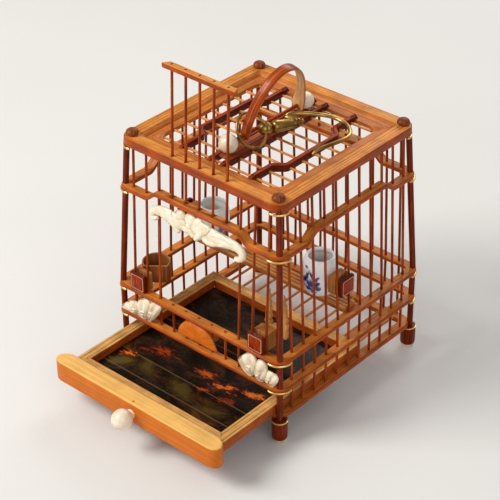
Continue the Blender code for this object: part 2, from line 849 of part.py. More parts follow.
def add_door():
    middle = -wall_at(cap_low + cap_height / 2)
    cap = add_box("door_grille", (-cap_half_length, middle - cap_depth / 2, cap_low),
                  (cap_half_length, middle + cap_depth / 2, cap_low + cap_height), dark_bamboo, cap_bevel)
    door_bar_foot = carving_level - (carving_up + carving_down) * door_bar_share
    bars = add_wires("door_bars", [door_run(k, door_bar_foot, cap_low + cap_height / 2)
                                   for k in range(-door_half, door_half + 1)], bar_diameter, None, 1)
    add_boolean(cap, bars, "UNION")
    smooth(cap)
    top_shares = ((0, 1.0), (0.10, 0.90), (0.20, 1.0), (0.34, 0.80), (0.46, 0.95), (0.62, 0.70),
                  (0.76, 0.86), (0.90, 0.62), (0.98, 0.20), (1.0, -0.30))
    low_shares = ((0.99, -0.80), (0.92, -1.0), (0.86, -0.78), (0.84, -0.30), (0.72, 0.0), (0.56, -0.30),
                  (0.38, -0.62), (0.26, -0.88), (0.20, -0.60), (0.10, -0.95), (0, -1.0))
    half = [(carving_half * x, (carving_up if y > 0 else carving_down) * y)
            for x, y in top_shares + low_shares]
    outline = half + [(-x, y) for x, y in reversed(half[1:-1])]
    carving = add_plate("door_carving", [outline], carving_thickness, bone,
                        (0, -wall_at(carving_level), carving_level), leaning_front)
    add_boolean(carving, door_bar_holes)
    clasp_bars = add_wires("clasp_bars", [door_run((door_half + 1) * sign, lean_start, frame_low) for sign in (-1, 1)],
                           hole_diameter, None, 1)
    add_boolean(carving, clasp_bars)


def add_drawer():
    frame = add_box("tray_frame", (-tray_half, tray_front, tray_low), (tray_half, tray_back, tray_high),
                    golden_bamboo, tray_bevel)
    inner = tray_half - tray_wall
    hole = add_box("tray_hollow", (-inner, tray_front + tray_wall, tray_low - overrun),
                   (inner, tray_back - tray_wall, tray_high + overrun))
    add_boolean(frame, hole)
    fit = tray_wall + clearance
    add_box("tray_bottom", (-inner + clearance, tray_front + fit, tray_low),
            (inner - clearance, tray_back - fit, tray_low + sheet_thickness), tortoiseshell)
    front = panel_back - panel_thickness
    shares = ((0.0, 0.0), (0.80, 0.28), (1.0, 0.60), (0.60, 0.92), (0.10, 1.0))
    swell = panel_half - panel_back_half
    half = [(panel_back_half + swell * x, panel_back - panel_thickness * y) for x, y in shares]
    outline = half + [(-x, y) for x, y in reversed(half)]
    panel = add_plate("drawer_panel", [outline], panel_high - panel_low, golden_bamboo,
                      (0, 0, (panel_low + panel_high) / 2))
    add_bevel(panel, panel_bevel)
    pin_place = front + pin_hole_inset
    pin = add_wires("pin_hole", [[(0, pin_place, panel_high - pin_hole_depth),
                                  (0, pin_place, panel_high + overrun)]], pin_hole_diameter)
    add_boolean(panel, pin)
    radius = knob_diameter / 2
    neck = knob_neck / 2
    reach = knob_reach
    steps = 9
    start = math.asin(neck / radius)
    profile = []
    for step in range(steps + 1):
        angle = (math.pi - start) * step / steps
        profile.append((radius * math.sin(angle), reach + radius * math.cos(angle)))
    profile += [(neck, 0), (0, 0)]
    knob = add_turned("drawer_knob", profile, bone, (0, front - clearance, knob_level), facing_front,
                      sides=20)
    smooth(knob)


def add_perch():
    half = wall_half - bar_diameter / 2 - perch_end_gap
    low = lower_high + clearance
    perch = add_box("perch", (-half, perch_front, low), (half, perch_back, low + perch_thickness), pale_bamboo)
    width = (perch_back - perch_front) / (perch_grooves + 1)
    for index in range(perch_grooves):
        y = perch_front + width * (index + 1)
        groove = add_box("perch_groove_" + str(index),
                         (-half - overrun, y - groove_width / 2, low + perch_thickness - groove_depth),
                         (half + overrun, y + groove_width / 2, low + perch_thickness + overrun))
        add_boolean(perch, groove)


def add_holders():
    """Square plaques outside the bars and the blocks they are pegged to inside."""
    out = wall_half + bar_diameter / 2 + clearance
    low = lower_high + clearance
    for name, sign, depth in (("front_left", -1, scoop_block_depth), ("front_right", 1, fork_block_depth)):
        x = sign * front_holder_place
        lean = wall_at(low + plaque_size)
        add_box("plaque_" + name, (x - plaque_size / 2, -out - plaque_thickness, low),
                (x + plaque_size / 2, -out, low + plaque_size), mahogany, plaque_bevel)
        back = lean - bar_diameter / 2 - clearance
        add_box("block_" + name, (x - block_width / 2, -back, low),
                (x + block_width / 2, -back + depth, low + block_height), pale_bamboo)
    low, high = side_holder_level - plaque_size / 2, side_holder_level + plaque_size / 2
    near = wall_at(low) + bar_diameter / 2 + clearance
    back = wall_at(high) - bar_diameter / 2 - clearance
    y0, y1 = side_holder_place - plaque_size / 2, side_holder_place + plaque_size / 2
    for name, sign in (("left", -1), ("right", 1)):
        xs = sorted((sign * near, sign * (near + plaque_thickness)))
        add_box("plaque_" + name, (xs[0], y0, low), (xs[1], y1, high), mahogany, plaque_bevel)
        cup, size = ((left_cup_centre, left_cup_diameter) if sign < 0
                     else (right_cup_centre, right_cup_diameter))
        xs = sorted((sign * back, cup[0] + sign * (size / 2 + clearance)))
        add_box("block_" + name, (xs[0], y0, low), (xs[1], y1, low + block_height), pale_bamboo)


def add_cups():
    for name, centre, diameter in (("porcelain_cup_left", left_cup_centre, left_cup_diameter),
                                   ("porcelain_cup_right", right_cup_centre, right_cup_diameter)):
        radius = diameter / 2
        height = cup_high - cup_low
        mouth, foot = radius * cup_mouth_share, radius * cup_foot_share
        inner = radius - 2 * cup_wall
        profile = [(0, cup_wall), (foot - cup_wall, 2 * cup_wall)]
        profile += [(inner, height * share) for share in cup_inside_shares]
        profile += [(mouth - cup_wall / 2, height), (mouth + cup_wall / 2, height)]
        profile += [(radius * across, height * up) for across, up in cup_outside_shares]
        profile += [(foot, 0), (0, 0)]
        cup = add_turned(name, profile, porcelain, (*centre, cup_low), sides=20)
        smooth(cup)
    low = lower_high + clearance + scoop_wall / 2
    steps = 18

    def outline(inset):
        radius = scoop_radius - inset
        reach = math.acos((scoop_chord - inset) / radius)
        points = []
        for step in range(steps + 1):
            angle = scoop_facing + reach + (2 * math.pi - 2 * reach) * step / steps
            points.append((radius * math.cos(angle), radius * math.sin(angle)))
        return points

    cup = add_plate("scoop_cup", [outline(0)], scoop_height, pale_bamboo,
                    (*scoop_centre, low + scoop_height / 2))
    inside = add_plate("scoop_hollow", [outline(scoop_wall)], scoop_height, None,
                       (*scoop_centre, low + scoop_floor + scoop_height / 2))
    add_boolean(cup, inside)


def add_fork():
    y = -wall_at(lower_high + block_height) + bar_diameter / 2 + clearance + fork_block_depth + clearance
    middle = (fork_left + fork_right) / 2
    half = (fork_right - fork_left) / 2
    right = [(0, fork_base_high - fork_wear * 2), (half - prong_width, fork_base_high),
             (half - prong_width + prong_tip, (fork_base_high + fork_high) / 2),
             (half - prong_width / 2 - prong_tip, fork_high), (half - prong_width / 2 + prong_tip, fork_high),
             (half - fork_wear, (fork_base_high + fork_high) / 2), (half, fork_base_high),
             (half, fork_low + fork_wear), (half - fork_wear, fork_low)]
    outline = [(middle - x, z) for x, z in reversed(right)] + [(middle + x, z) for x, z in right[1:]]
    add_plate("fork", [outline], fork_thickness, pale_bamboo, (0, y + fork_thickness / 2, 0), facing_front)


def add_plaque_and_carvings():
    out = wall_half + bar_diameter / 2 + clearance
    inside = wall_half - bar_diameter / 2 - clearance
    arc = [math.pi / 2 * step / 6 for step in range(7)]
    height = moon_high - moon_low
    right = [(moon_flat + (moon_half - moon_flat) * math.sin(angle), moon_low + height * math.cos(angle))
             for angle in arc]
    outline = right + [(-x, z) for x, z in reversed(right)]
    add_plate("half_moon_plaque", [outline], moon_thickness, lacquered_bamboo,
              (0, -out - moon_thickness / 2, 0), facing_front)
    round_top = [(moon_block_radius * math.cos(math.pi * step / 12),
                  moon_low + moon_block_radius * math.sin(math.pi * step / 12)) for step in range(13)]
    add_plate("half_moon_block", [round_top], moon_block_depth, pale_bamboo,
              (0, -inside + moon_block_depth / 2, 0), facing_front)
    front = wall_half + post_diameter / 2 + clearance + corner_carving_thickness / 2
    top_shares = ((0.0, 0.10), (0.06, 0.50), (0.22, 0.72), (0.40, 0.80), (0.46, 0.70), (0.52, 0.95),
                  (0.68, 1.0), (0.74, 0.86), (0.82, 0.98), (0.96, 0.88), (1.0, 0.55))
    low_shares = ((0.96, 0.16), (0.84, 0.0), (0.70, 0.10), (0.62, 0.0), (0.50, 0.12), (0.36, 0.0),
                  (0.18, 0.10), (0.08, 0.0))
    length = corner_carving_out - corner_carving_in
    low = strip_high + clearance
    for name, sign in (("left", -1), ("right", 1)):
        outline = [(sign * (corner_carving_out - length * x), low + corner_carving_height * z)
                   for x, z in top_shares + low_shares]
        add_plate("corner_carving_" + name, [outline], corner_carving_thickness, bone, (0, -front, 0),
                  facing_front)


add_posts_and_feet()
add_rails()
add_grilles()
add_base()
add_top_frame()
spine_top = add_roof()
handle, axle_level = add_handle(spine_top)
build_handle_pivot(handle, axle_level)
add_hook()
add_door()
add_drawer()
add_perch()
add_holders()
add_cups()
add_fork()
add_plaque_and_carvings()
print("axle level", round(axle_level, 5), "spine top", round(spine_top, 5), "cap low", round(cap_low, 5))
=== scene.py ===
import math
import bmesh
import bpy
import numpy as np
from mathutils import Matrix, Vector


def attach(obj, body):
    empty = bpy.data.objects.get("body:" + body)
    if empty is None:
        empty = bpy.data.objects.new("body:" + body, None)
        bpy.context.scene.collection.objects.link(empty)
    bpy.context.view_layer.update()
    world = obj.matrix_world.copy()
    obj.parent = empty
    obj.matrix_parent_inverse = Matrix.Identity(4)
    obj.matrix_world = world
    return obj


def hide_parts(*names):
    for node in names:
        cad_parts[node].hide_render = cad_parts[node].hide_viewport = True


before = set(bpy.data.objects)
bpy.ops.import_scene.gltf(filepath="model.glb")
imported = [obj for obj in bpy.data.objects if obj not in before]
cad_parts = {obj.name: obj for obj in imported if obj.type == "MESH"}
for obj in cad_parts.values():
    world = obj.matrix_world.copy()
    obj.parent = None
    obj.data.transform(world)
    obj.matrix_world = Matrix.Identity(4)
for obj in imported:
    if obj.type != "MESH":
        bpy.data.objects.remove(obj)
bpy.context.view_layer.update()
scene = bpy.context.scene
print("frame loaded:", len(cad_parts), "nodes")

# Everything below is set out in mm about the middle of the cage, which stands this far behind the origin
middleY = 27.35
cage = {
    "wallHalf": 50.0, "lean": 0.042, "leanStart": 47.0, "pitch": 100 / 12, "barRadius": 0.65,
    "barLow": 15.5, "frontLow": 30.4, "barTop": 122.6, "shortTop": 47.3, "postRadius": 1.5,
    "postLean": 0.0486, "slideHole": 0.95,
}


def wallAt(z, lean="lean"):
    # distance of a wall's middle plane, or a post's middle line, from the cage's middle at height z
    return cage["wallHalf"] - cage[lean] * np.maximum(0, np.asarray(z, float) - cage["leanStart"])


def columns(*parts):
    # numbers and arrays side by side, as the last axis
    return np.stack(np.broadcast_arrays(*parts), -1)


def around(sides):
    return np.arange(sides) * 2 * np.pi / sides


def quarter(steps):
    return np.linspace(0, np.pi / 2, steps)


def eased(share):
    # smooth step from 0 to 1
    share = np.clip(share, 0, 1)
    return share * share * (3 - 2 * share)


def unit(vectors):
    return vectors / np.maximum(np.linalg.norm(vectors, axis=-1, keepdims=True), 1e-9)


def loopLengths(points, closed=False):
    # running length along a list of points, with the closing step as well when it is closed
    ring = np.vstack([points, points[:1]]) if closed else points
    return np.concatenate([[0], np.cumsum(np.linalg.norm(np.diff(ring, axis=0), axis=1))])


def turnZ(points, turns):
    # quarter turns about the cage's upright middle line
    c, s = ((1, 0), (0, 1), (-1, 0), (0, -1))[turns]
    x, y = points[..., 0], points[..., 1]
    return np.concatenate([columns(x * c - y * s, x * s + y * c), points[..., 2:]], -1)


def smoothLine(points, perSpan=6, closed=False):
    # A curve through every point: the cubic whose slope at a point runs parallel to its two neighbours.
    points = np.asarray(points, float)
    if closed:
        before, here = np.roll(points, 1, 0), points
        there, after = np.roll(points, -1, 0), np.roll(points, -2, 0)
    else:
        before = np.vstack([2 * points[:1] - points[1:2], points[:-2]])
        here, there = points[:-1], points[1:]
        after = np.vstack([points[2:], 2 * points[-1:] - points[-2:-1]])
    t = (np.arange(perSpan) / perSpan)[None, :, None]
    before, here, there, after = (p[:, None] for p in (before, here, there, after))
    curve = 0.5 * (2 * here + (there - before) * t + (2 * before - 5 * here + 4 * there - after) * t ** 2
                   + (3 * here - before - 3 * there + after) * t ** 3)
    curve = curve.reshape(-1, points.shape[1])
    return curve if closed else np.vstack([curve, points[-1:]])


def skin(points, wrapRows=False, u=None, v=None, tone=0.0, uStart=0.0):
    # A closed skin over a grid of points (rows, columns, 3): quads between neighbours and flat ends.
    points = np.asarray(points, float)
    rows, count = points.shape[:2]
    u = loopLengths(points.mean(axis=1), wrapRows) if u is None else u
    v = loopLengths(points[rows // 2], True) if v is None else v
    grid = np.meshgrid(np.arange(rows if wrapRows else rows - 1), np.arange(count), indexing="ij")
    i, j = (index.ravel() for index in grid)
    below, beside = (i + 1) % rows, (j + 1) % count
    quads = columns(i * count + j, below * count + j, below * count + beside, i * count + beside)
    uv = np.stack([columns(u[i], v[j]), columns(u[i + 1], v[j]), columns(u[i + 1], v[j + 1]),
                   columns(u[i], v[j + 1])], 1)
    flat = points.reshape(-1, 3)
    a, b, c, d = (flat[quads[:, k]] for k in range(4))
    volume = (a * (np.cross(b, c) + np.cross(c, d))).sum()
    faces, uvs = quads.tolist(), list(uv)
    if not wrapRows:
        for row, order in ((0, -1), (rows - 1, 1)):
            ends = np.arange(row * count, (row + 1) * count)[::order]
            ring = flat[ends]
            volume += (ring[0] * np.cross(ring[1:-1], ring[2:])).sum()
            faces.append(ends.tolist())
            uvs.append(columns(u[row], np.linalg.norm(ring - ring.mean(axis=0), axis=1)))
    if volume < 0:
        faces = [face[::-1] for face in faces]
        uvs = [corner[::-1] for corner in uvs]
    tones = np.broadcast_to(np.asarray(tone, float), (rows, count)).ravel()
    return flat, faces, np.concatenate(uvs) + (uStart, 0), tones


def sweep(path, profile, up=(0, 0, 1), size=1.0, closed=False, tone=0.0, uStart=0.0):
    # A profile (across, up) carried along a path: path + across * side + up * lift, times the size there.
    along = unit(np.roll(path, -1, 0) - np.roll(path, 1, 0) if closed else np.gradient(path, axis=0))
    side = unit(np.cross(along, np.asarray(up, float)))
    lift = np.cross(side, along)
    size = np.asarray(size, float)
    size = np.broadcast_to(size if size.ndim == 2 else size.reshape(-1, 1), (len(path), 2))
    points = (path[:, None] + side[:, None] * (profile[None, :, :1] * size[:, None, :1])
              + lift[:, None] * (profile[None, :, 1:] * size[:, None, 1:]))
    return skin(points, closed, loopLengths(path, closed), loopLengths(profile, True), tone, uStart)


def circle(radius, sides):
    return columns(radius * np.cos(around(sides)), radius * np.sin(around(sides)))


def rounded(power, sides):
    # section of a bar with round edges: a superellipse of half width and half height 1
    angle = (np.arange(sides) + 0.5) * 2 * np.pi / sides
    c, s = np.cos(angle), np.sin(angle)
    return columns(np.sign(c) * np.abs(c) ** (2 / power), np.sign(s) * np.abs(s) ** (2 / power))


def capped(path, head, tail, steps):
    # A path with points added beyond both ends to round them, and each point's share of the full size.
    turn = quarter(steps)[1:]
    first, last = unit(path[0] - path[1]), unit(path[-1] - path[-2])
    longer = np.vstack([path[0] + first * (head * np.sin(turn))[::-1, None], path,
                        path[-1] + last * (tail * np.sin(turn))[:, None]])
    return longer, np.concatenate([np.cos(turn)[::-1], np.ones(len(path)), np.cos(turn)])


def wire(path, radius, sides=12, up=(0, 0, 1), blunt=0.0, size=None, steps=6, uStart=0.0):
    # A round wire; blunt ends are quarter ellipses of that length, and size changes the radius along it.
    path = np.asarray(path, float)
    size = np.ones(len(path)) if size is None else size
    if blunt:
        path, share = capped(path, blunt * size[0], blunt * size[-1], steps)
        size = share * np.pad(size, steps - 1, "edge")
    return sweep(path, circle(radius, sides), up, np.maximum(size, 1e-4), uStart=uStart)


def turned(profile, centre=(0, 0, 0), axis=(0, 0, 1), sides=32, tone=0.0, uStart=0.0):
    # A turned shape: (radius, height) carried round the axis.
    profile = np.asarray(profile, float)
    axis = unit(np.asarray(axis, float))
    first = unit(np.cross(axis, (1.0, 0, 0) if abs(axis[0]) < 0.8 else (0, 1.0, 0)))
    ring = circle(1.0, sides) @ np.array([first, np.cross(axis, first)])
    radius = np.maximum(profile[:, 0], 1e-5)
    points = np.asarray(centre, float) + profile[:, None, 1:] * axis + radius[:, None, None] * ring
    girth = np.arange(sides + 1) * 2 * np.pi * max(profile[:, 0]) / sides
    return skin(points, u=loopLengths(profile), v=girth, tone=np.reshape(tone, (-1, 1)), uStart=uStart)


def roundedSquare(half, radius, steps, along=()):
    # Rings of a square with round corners, one column for each half and radius. Row order: anticlockwise
    # from the front left corner; along holds places between the corners, as shares from -1 to 1.
    half, radius = np.atleast_1d(half).astype(float), np.atleast_1d(radius).astype(float)
    angle = quarter(steps + 1)[:, None]
    centre = half - radius
    run = np.reshape(along, (-1, 1)) * centre
    side = np.concatenate([columns(run, -half), columns(centre + radius * np.sin(angle),
                                                        -(centre + radius * np.cos(angle)))])
    return np.concatenate([turnZ(side, turn) for turn in range(4)])


def lineUp(x, low, high, side=0, steps=2):
    # A line that leans with the wall, at x along the side.
    z = np.unique(np.append(np.linspace(low, high, steps), np.clip(cage["leanStart"], low, high)))
    return turnZ(columns(x, -wallAt(z), z), side)


def uprights(places, low, high, side=0, sides=10, steps=8, apart=23.0, start=0.0):
    # bars of a wall at numbered places, each with its own stretch of fibres
    return [wire(lineUp(k * cage["pitch"], low, high, side, steps), cage["barRadius"], sides, (1, 1, 0),
                 uStart=apart * k + start) for k in places]


def rims(low, high, r, steps):
    # heights and insets that round the lower and the upper edge of a block
    turn = np.concatenate([quarter(steps)[::-1], quarter(steps)])
    z = np.where(np.arange(2 * steps) < steps, low + r - r * np.sin(turn), high - r + r * np.sin(turn))
    return list(zip(z, r - r * np.cos(turn)))


def joined(name, skins):
    # the skins as one mesh, in metres in the shared frame
    faces, start = [], 0
    for flat, sides, _, _ in skins:
        faces += [[k + start for k in face] for face in sides]
        start += len(flat)
    mesh = bpy.data.meshes.new(name)
    points = (np.concatenate([part[0] for part in skins]) + (0, middleY, 0)) / 1000
    mesh.from_pydata(points.tolist(), [], faces)
    return mesh


def makePiece(name, skins, material, body="cage", replaced=None, angle=38, merge=0.0005):
    mesh = joined(name, skins)
    uvs, tones = (np.concatenate([part[k] for part in skins]) for k in (2, 3))
    mesh.uv_layers.new(name="alongAcross").data.foreach_set("uv", uvs.ravel())
    mesh.attributes.new("tone", "FLOAT", "POINT").data.foreach_set("value", tones)
    work = bmesh.new()
    work.from_mesh(mesh)
    bmesh.ops.remove_doubles(work, verts=work.verts, dist=merge / 1000)
    bmesh.ops.dissolve_degenerate(work, edges=work.edges, dist=merge / 10000)
    work.to_mesh(mesh)
    work.free()
    mesh.shade_smooth()
    mesh.set_sharp_from_angle(angle=math.radians(angle))
    mesh.materials.append(material)
    piece = bpy.data.objects.new(name, mesh)
    scene.collection.objects.link(piece)
    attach(piece, body)
    if replaced:
        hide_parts(replaced)
    return piece


def cutHoles(piece, runs, radius):
    # opens a clearance hole round each bar or pin that slides through the piece
    mesh = joined("cutter", [wire(run, radius, up=(0, 1, 0)) for run in runs])
    cutter = bpy.data.objects.new("cutter", mesh)
    scene.collection.objects.link(cutter)
    boolean = piece.modifiers.new("slide_holes", "BOOLEAN")
    boolean.solver = "EXACT"
    boolean.object = cutter
    graph = bpy.context.evaluated_depsgraph_get()
    mesh = bpy.data.meshes.new_from_object(piece.evaluated_get(graph))
    piece.modifiers.clear()
    piece.data = mesh
    bpy.data.objects.remove(cutter)


def rgb(red, green, blue):
    # screen colour 0-255 to linear
    value = np.array([red, green, blue]) / 255
    return tuple(np.where(value <= 0.04045, value / 12.92, ((value + 0.055) / 1.055) ** 2.4).tolist())


def startMaterial(name, slot, roughness=0.4, metallic=0.0, **sockets):
    material = bpy.data.materials.new(name)
    material.use_nodes = True
    for socket, value in {"Roughness": roughness, "Metallic": metallic, **sockets}.items():
        material.node_tree.nodes["Principled BSDF"].inputs[socket.replace("_", " ")].default_value = value
    return material, material.node_tree


def addNode(tree, kind, inputs=None, output=0, **settings):
    # adds a node, fills or links its inputs, and gives back one of its outputs
    node = tree.nodes.new("ShaderNode" + kind)
    for key, value in settings.items():
        setattr(node, key, value)
    for key, value in (inputs or {}).items():
        if isinstance(value, bpy.types.NodeSocket):
            tree.links.new(value, node.inputs[key])
        else:
            node.inputs[key].default_value = value
    return node.outputs[output]


def place(tree, scale=1.0, kind="Object"):
    # the place in the shared frame, or the length and width of the piece's UV map, in mm times the scale
    size = np.broadcast_to(scale, 3) * (1000.0 if kind == "Object" else 1.0)
    source = addNode(tree, "TexCoord", output=kind)
    return addNode(tree, "Mapping", {"Vector": source, "Scale": size.tolist()})


def noise(tree, scale, detail, roughness, distortion=0.0, kind="Object"):
    return addNode(tree, "TexNoise", {"Vector": place(tree, scale, kind), "Scale": 1.0, "Detail": detail,
                                      "Roughness": roughness, "Distortion": distortion})


def pieceTone(tree):
    return addNode(tree, "Attribute", output="Fac", attribute_name="tone")


def ramp(tree, fac, *stops):
    node = tree.nodes.new("ShaderNodeValToRGB")
    tree.links.new(fac, node.inputs[0])
    elements = node.color_ramp.elements
    while len(elements) < len(stops):
        elements.new(0.5)
    for element, (where, colour) in zip(elements, stops):
        element.position = where
        element.color = (*colour, 1)
    return node.outputs[0]


def level(tree, fac, low, high, outLow=0.0, outHigh=1.0):
    return addNode(tree, "MapRange", {"Value": fac, "From Min": low, "From Max": high,
                                      "To Min": outLow, "To Max": outHigh})


def mix(tree, fac, first, second, blend="MIX"):
    sides = {key: value if isinstance(value, bpy.types.NodeSocket) else (*value, 1)
             for key, value in ((6, first), (7, second))}
    return addNode(tree, "Mix", {0: fac, **sides}, 2, data_type="RGBA", blend_type=blend)


def calc(tree, operation, first, second=0.0):
    return addNode(tree, "Math", {0: first, 1: second}, operation=operation)


def finishMaterial(material, colour, roughness=None, height=None, strength=0.0, distance=0.1):
    # joins the colour, and where given the roughness and a relief (distance in mm)
    tree = material.node_tree
    joins = {"Base Color": colour, "Roughness": roughness}
    if height is not None:
        joins["Normal"] = addNode(tree, "Bump", {"Height": height, "Strength": strength,
                                                 "Distance": distance / 1000})
    for socket, value in joins.items():
        if value is not None:
            tree.links.new(value, tree.nodes["Principled BSDF"].inputs[socket])
    return material


def bambooMaterial(name, slot, face, edge, speck, coat, rough, gloss=0.15, long=0.05, fine=1.0,
                   patches=(0.72, 1.18), specks=0.45, rub=0.25, relief=0.35):
    # Fibres from noise drawn out along u, slow patches, fine dark bundles, and a colour that goes from the
    # face (tone 0) to the skin side or edge (tone 1). Colours run from light to dark and are deepened a
    # little; an empty edge repeats the face.
    deepen = 1.18
    faceLight, faceMid, faceDark, edgeLight, edgeMid, edgeDark, spot = (
        tuple(v ** deepen for v in rgb(*colour)) for colour in (*face, *(edge or face), speck))
    material, tree = startMaterial(name, slot, Coat_Weight=coat * 0.45, Coat_Roughness=0.12,
                                   Specular_IOR_Level=gloss)
    fibre = noise(tree, (long, 1.6 * fine, 1), 4, 0.6, kind="UV")
    bundle = noise(tree, (0.12, 7.0 * fine, 1), 2, 0.5, kind="UV")
    patch = noise(tree, 0.11, 3, 0.6)
    wear = noise(tree, 0.9, 4, 0.65)
    inner = ramp(tree, fibre, (0.30, faceDark), (0.50, faceMid), (0.72, faceLight))
    outer = ramp(tree, fibre, (0.25, edgeDark), (0.55, edgeMid), (0.8, edgeLight))
    shade = level(tree, patch, 0.32, 0.72, *patches)
    shade = addNode(tree, "CombineColor", {0: shade, 1: shade, 2: shade})
    colour = mix(tree, 1.0, mix(tree, pieceTone(tree), inner, outer), shade, "MULTIPLY")
    colour = mix(tree, level(tree, bundle, 0.60, 0.70, 0.0, specks), colour, spot)
    colour = mix(tree, level(tree, wear, 0.62, 0.74, 0.0, rub), colour, faceLight)
    height = calc(tree, "ADD", calc(tree, "MULTIPLY", fibre, 0.7), calc(tree, "MULTIPLY", bundle, 0.35))
    gleam = level(tree, fibre, 0.3, 0.7, rough - 0.08, rough + 0.10)
    return finishMaterial(material, colour, gleam, height, relief, 0.12)


goldenRail = bambooMaterial(
    "golden_rail", "golden_bamboo", ((234, 168, 88), (210, 134, 54), (172, 98, 30)),
    ((220, 128, 44), (186, 92, 18), (138, 60, 8)), (112, 52, 16), 0.14, 0.40)
darkBar = bambooMaterial(
    "dark_bar", "dark_bamboo", ((206, 108, 36), (166, 72, 14), (112, 40, 6)), (), (66, 22, 4), 0.12, 0.36,
    rub=0.15, gloss=0.11)
postBamboo = bambooMaterial(
    "post_bamboo", "dark_bamboo", ((172, 78, 24), (130, 49, 9), (84, 26, 4)), (), (44, 13, 3), 0.15, 0.34,
    rub=0.12, gloss=0.1)
headBamboo = bambooMaterial(
    "post_head", "dark_bamboo", ((186, 106, 54), (146, 74, 32), (98, 44, 16)),
    ((212, 158, 102), (146, 80, 38), (90, 42, 16)), (42, 18, 8), 0.2, 0.42, fine=0.6, relief=0.8)
redFrame = bambooMaterial(
    "red_frame", "lacquered_bamboo", ((244, 182, 96), (224, 152, 64), (192, 114, 36)),
    ((208, 112, 32), (176, 82, 12), (130, 52, 6)), (136, 66, 22), 0.16, 0.38)
roofStick = bambooMaterial(
    "roof_stick", "golden_bamboo", ((242, 184, 106), (222, 150, 70), (180, 106, 38)), (), (110, 54, 20),
    0.15, 0.4)
darkBatten = bambooMaterial(
    "dark_batten", "dark_bamboo", ((206, 100, 32), (164, 66, 14), (106, 36, 6)),
    ((158, 70, 22), (114, 43, 9), (70, 22, 4)), (50, 14, 4), 0.12, 0.34, rub=0.1, gloss=0.1)
handleStrip = bambooMaterial(
    "handle_strip", "lacquered_bamboo", ((232, 194, 148), (210, 164, 112), (168, 118, 70)),
    ((222, 122, 44), (182, 84, 20), (124, 48, 8)), (112, 48, 14), 0.2, 0.3, rub=0.1, gloss=0.18)
palePlank = bambooMaterial(
    "pale_plank", "pale_bamboo", ((206, 132, 84), (168, 94, 52), (118, 58, 28)),
    ((190, 116, 68), (150, 82, 42), (98, 48, 22)), (86, 42, 20), 0.05, 0.55)
trayBamboo = bambooMaterial(
    "tray_bamboo", "golden_bamboo", ((244, 206, 144), (226, 180, 110), (194, 142, 76)),
    ((212, 128, 54), (184, 96, 30), (134, 58, 14)), (150, 92, 44), 0.1, 0.45)
panelBamboo = bambooMaterial(
    "panel_bamboo", "golden_bamboo", ((250, 210, 140), (242, 196, 120), (222, 166, 88)),
    ((230, 144, 44), (214, 124, 26), (190, 100, 16)), (196, 120, 50), 0.12, 0.4, patches=(0.9, 1.08),
    specks=0.2, relief=0.15, rub=0.1, long=0.02)
perchBamboo = bambooMaterial(
    "perch_bamboo", "pale_bamboo", ((234, 178, 108), (214, 152, 82), (184, 120, 58)),
    ((206, 128, 60), (176, 92, 36), (130, 60, 22)), (140, 84, 40), 0.2, 0.45, specks=0.25)
blockBamboo = bambooMaterial(
    "block_bamboo", "pale_bamboo", ((214, 160, 96), (182, 124, 66), (140, 88, 42)),
    ((196, 132, 72), (160, 98, 46), (112, 64, 28)), (84, 48, 22), 0.05, 0.6, fine=1.4, specks=0.6)
scoopBamboo = bambooMaterial(
    "scoop_bamboo", "pale_bamboo", ((186, 122, 66), (146, 84, 40), (100, 50, 22)),
    ((224, 176, 120), (190, 136, 84), (140, 88, 48)), (60, 28, 14), 0.1, 0.5, fine=1.6)
forkBamboo = bambooMaterial(
    "fork_bamboo", "pale_bamboo", ((240, 192, 124), (214, 156, 90), (160, 102, 50)),
    ((212, 150, 84), (176, 112, 54), (124, 70, 30)), (100, 56, 24), 0.1, 0.5, fine=1.3, specks=0.5,
    relief=0.6)
moonWood = bambooMaterial(
    "moon_wood", "lacquered_bamboo", ((232, 146, 60), (218, 124, 40), (190, 94, 24)), (), (170, 84, 24),
    0.15, 0.4, specks=0.15, relief=0.12, rub=0.1)


def boneMaterial(name, look):
    # Slow warm and pale clouds, fine lengthwise pores, and painted shade from the tone: a brown where the
    # tone is high
    material, tree = startMaterial(name, "bone", look["gloss"], Coat_Weight=look["coat"][0],
                                   Coat_Roughness=look["coat"][1], Subsurface_Weight=look["soft"][0],
                                   Subsurface_Scale=look["soft"][1])
    clouds, pores = noise(tree, *look["clouds"]), noise(tree, *look["pores"])
    colour = ramp(tree, clouds, *((where, rgb(*shade)) for where, shade in look["stops"]))
    colour = mix(tree, level(tree, pores, look["poreStart"], 0.72, 0.0, look["poreDepth"]), colour,
                 rgb(*look["pore"]))
    # painted shade: the tone browns the hollows of a carving and the neck of a bead
    colour = mix(tree, pieceTone(tree), colour, rgb(*look["hollow"]))
    return finishMaterial(material, colour, level(tree, clouds, 0.3, 0.7, 0.24, look["dullest"]), pores,
                          *look["relief"])


def brassMaterial(name, light, dark):
    # Old brass: olive-gold with darker tarnish patches, fine scratches and uneven gloss
    material, tree = startMaterial(name, "brass", 0.24, 1.0)
    patch = noise(tree, 0.12, 3, 0.5)
    scratch = noise(tree, (0.3, 1.1, 1.1), 2, 0.5)
    light, dark = np.array([rgb(*light), rgb(*dark)])
    colour = ramp(tree, patch, (0.30, dark), (0.48, (light + dark) / 2), (0.66, light))
    gloss = calc(tree, "ADD", patch, calc(tree, "MULTIPLY", scratch, 0.2))
    return finishMaterial(material, colour, level(tree, gloss, 0.4, 0.8, 0.36, 0.24))


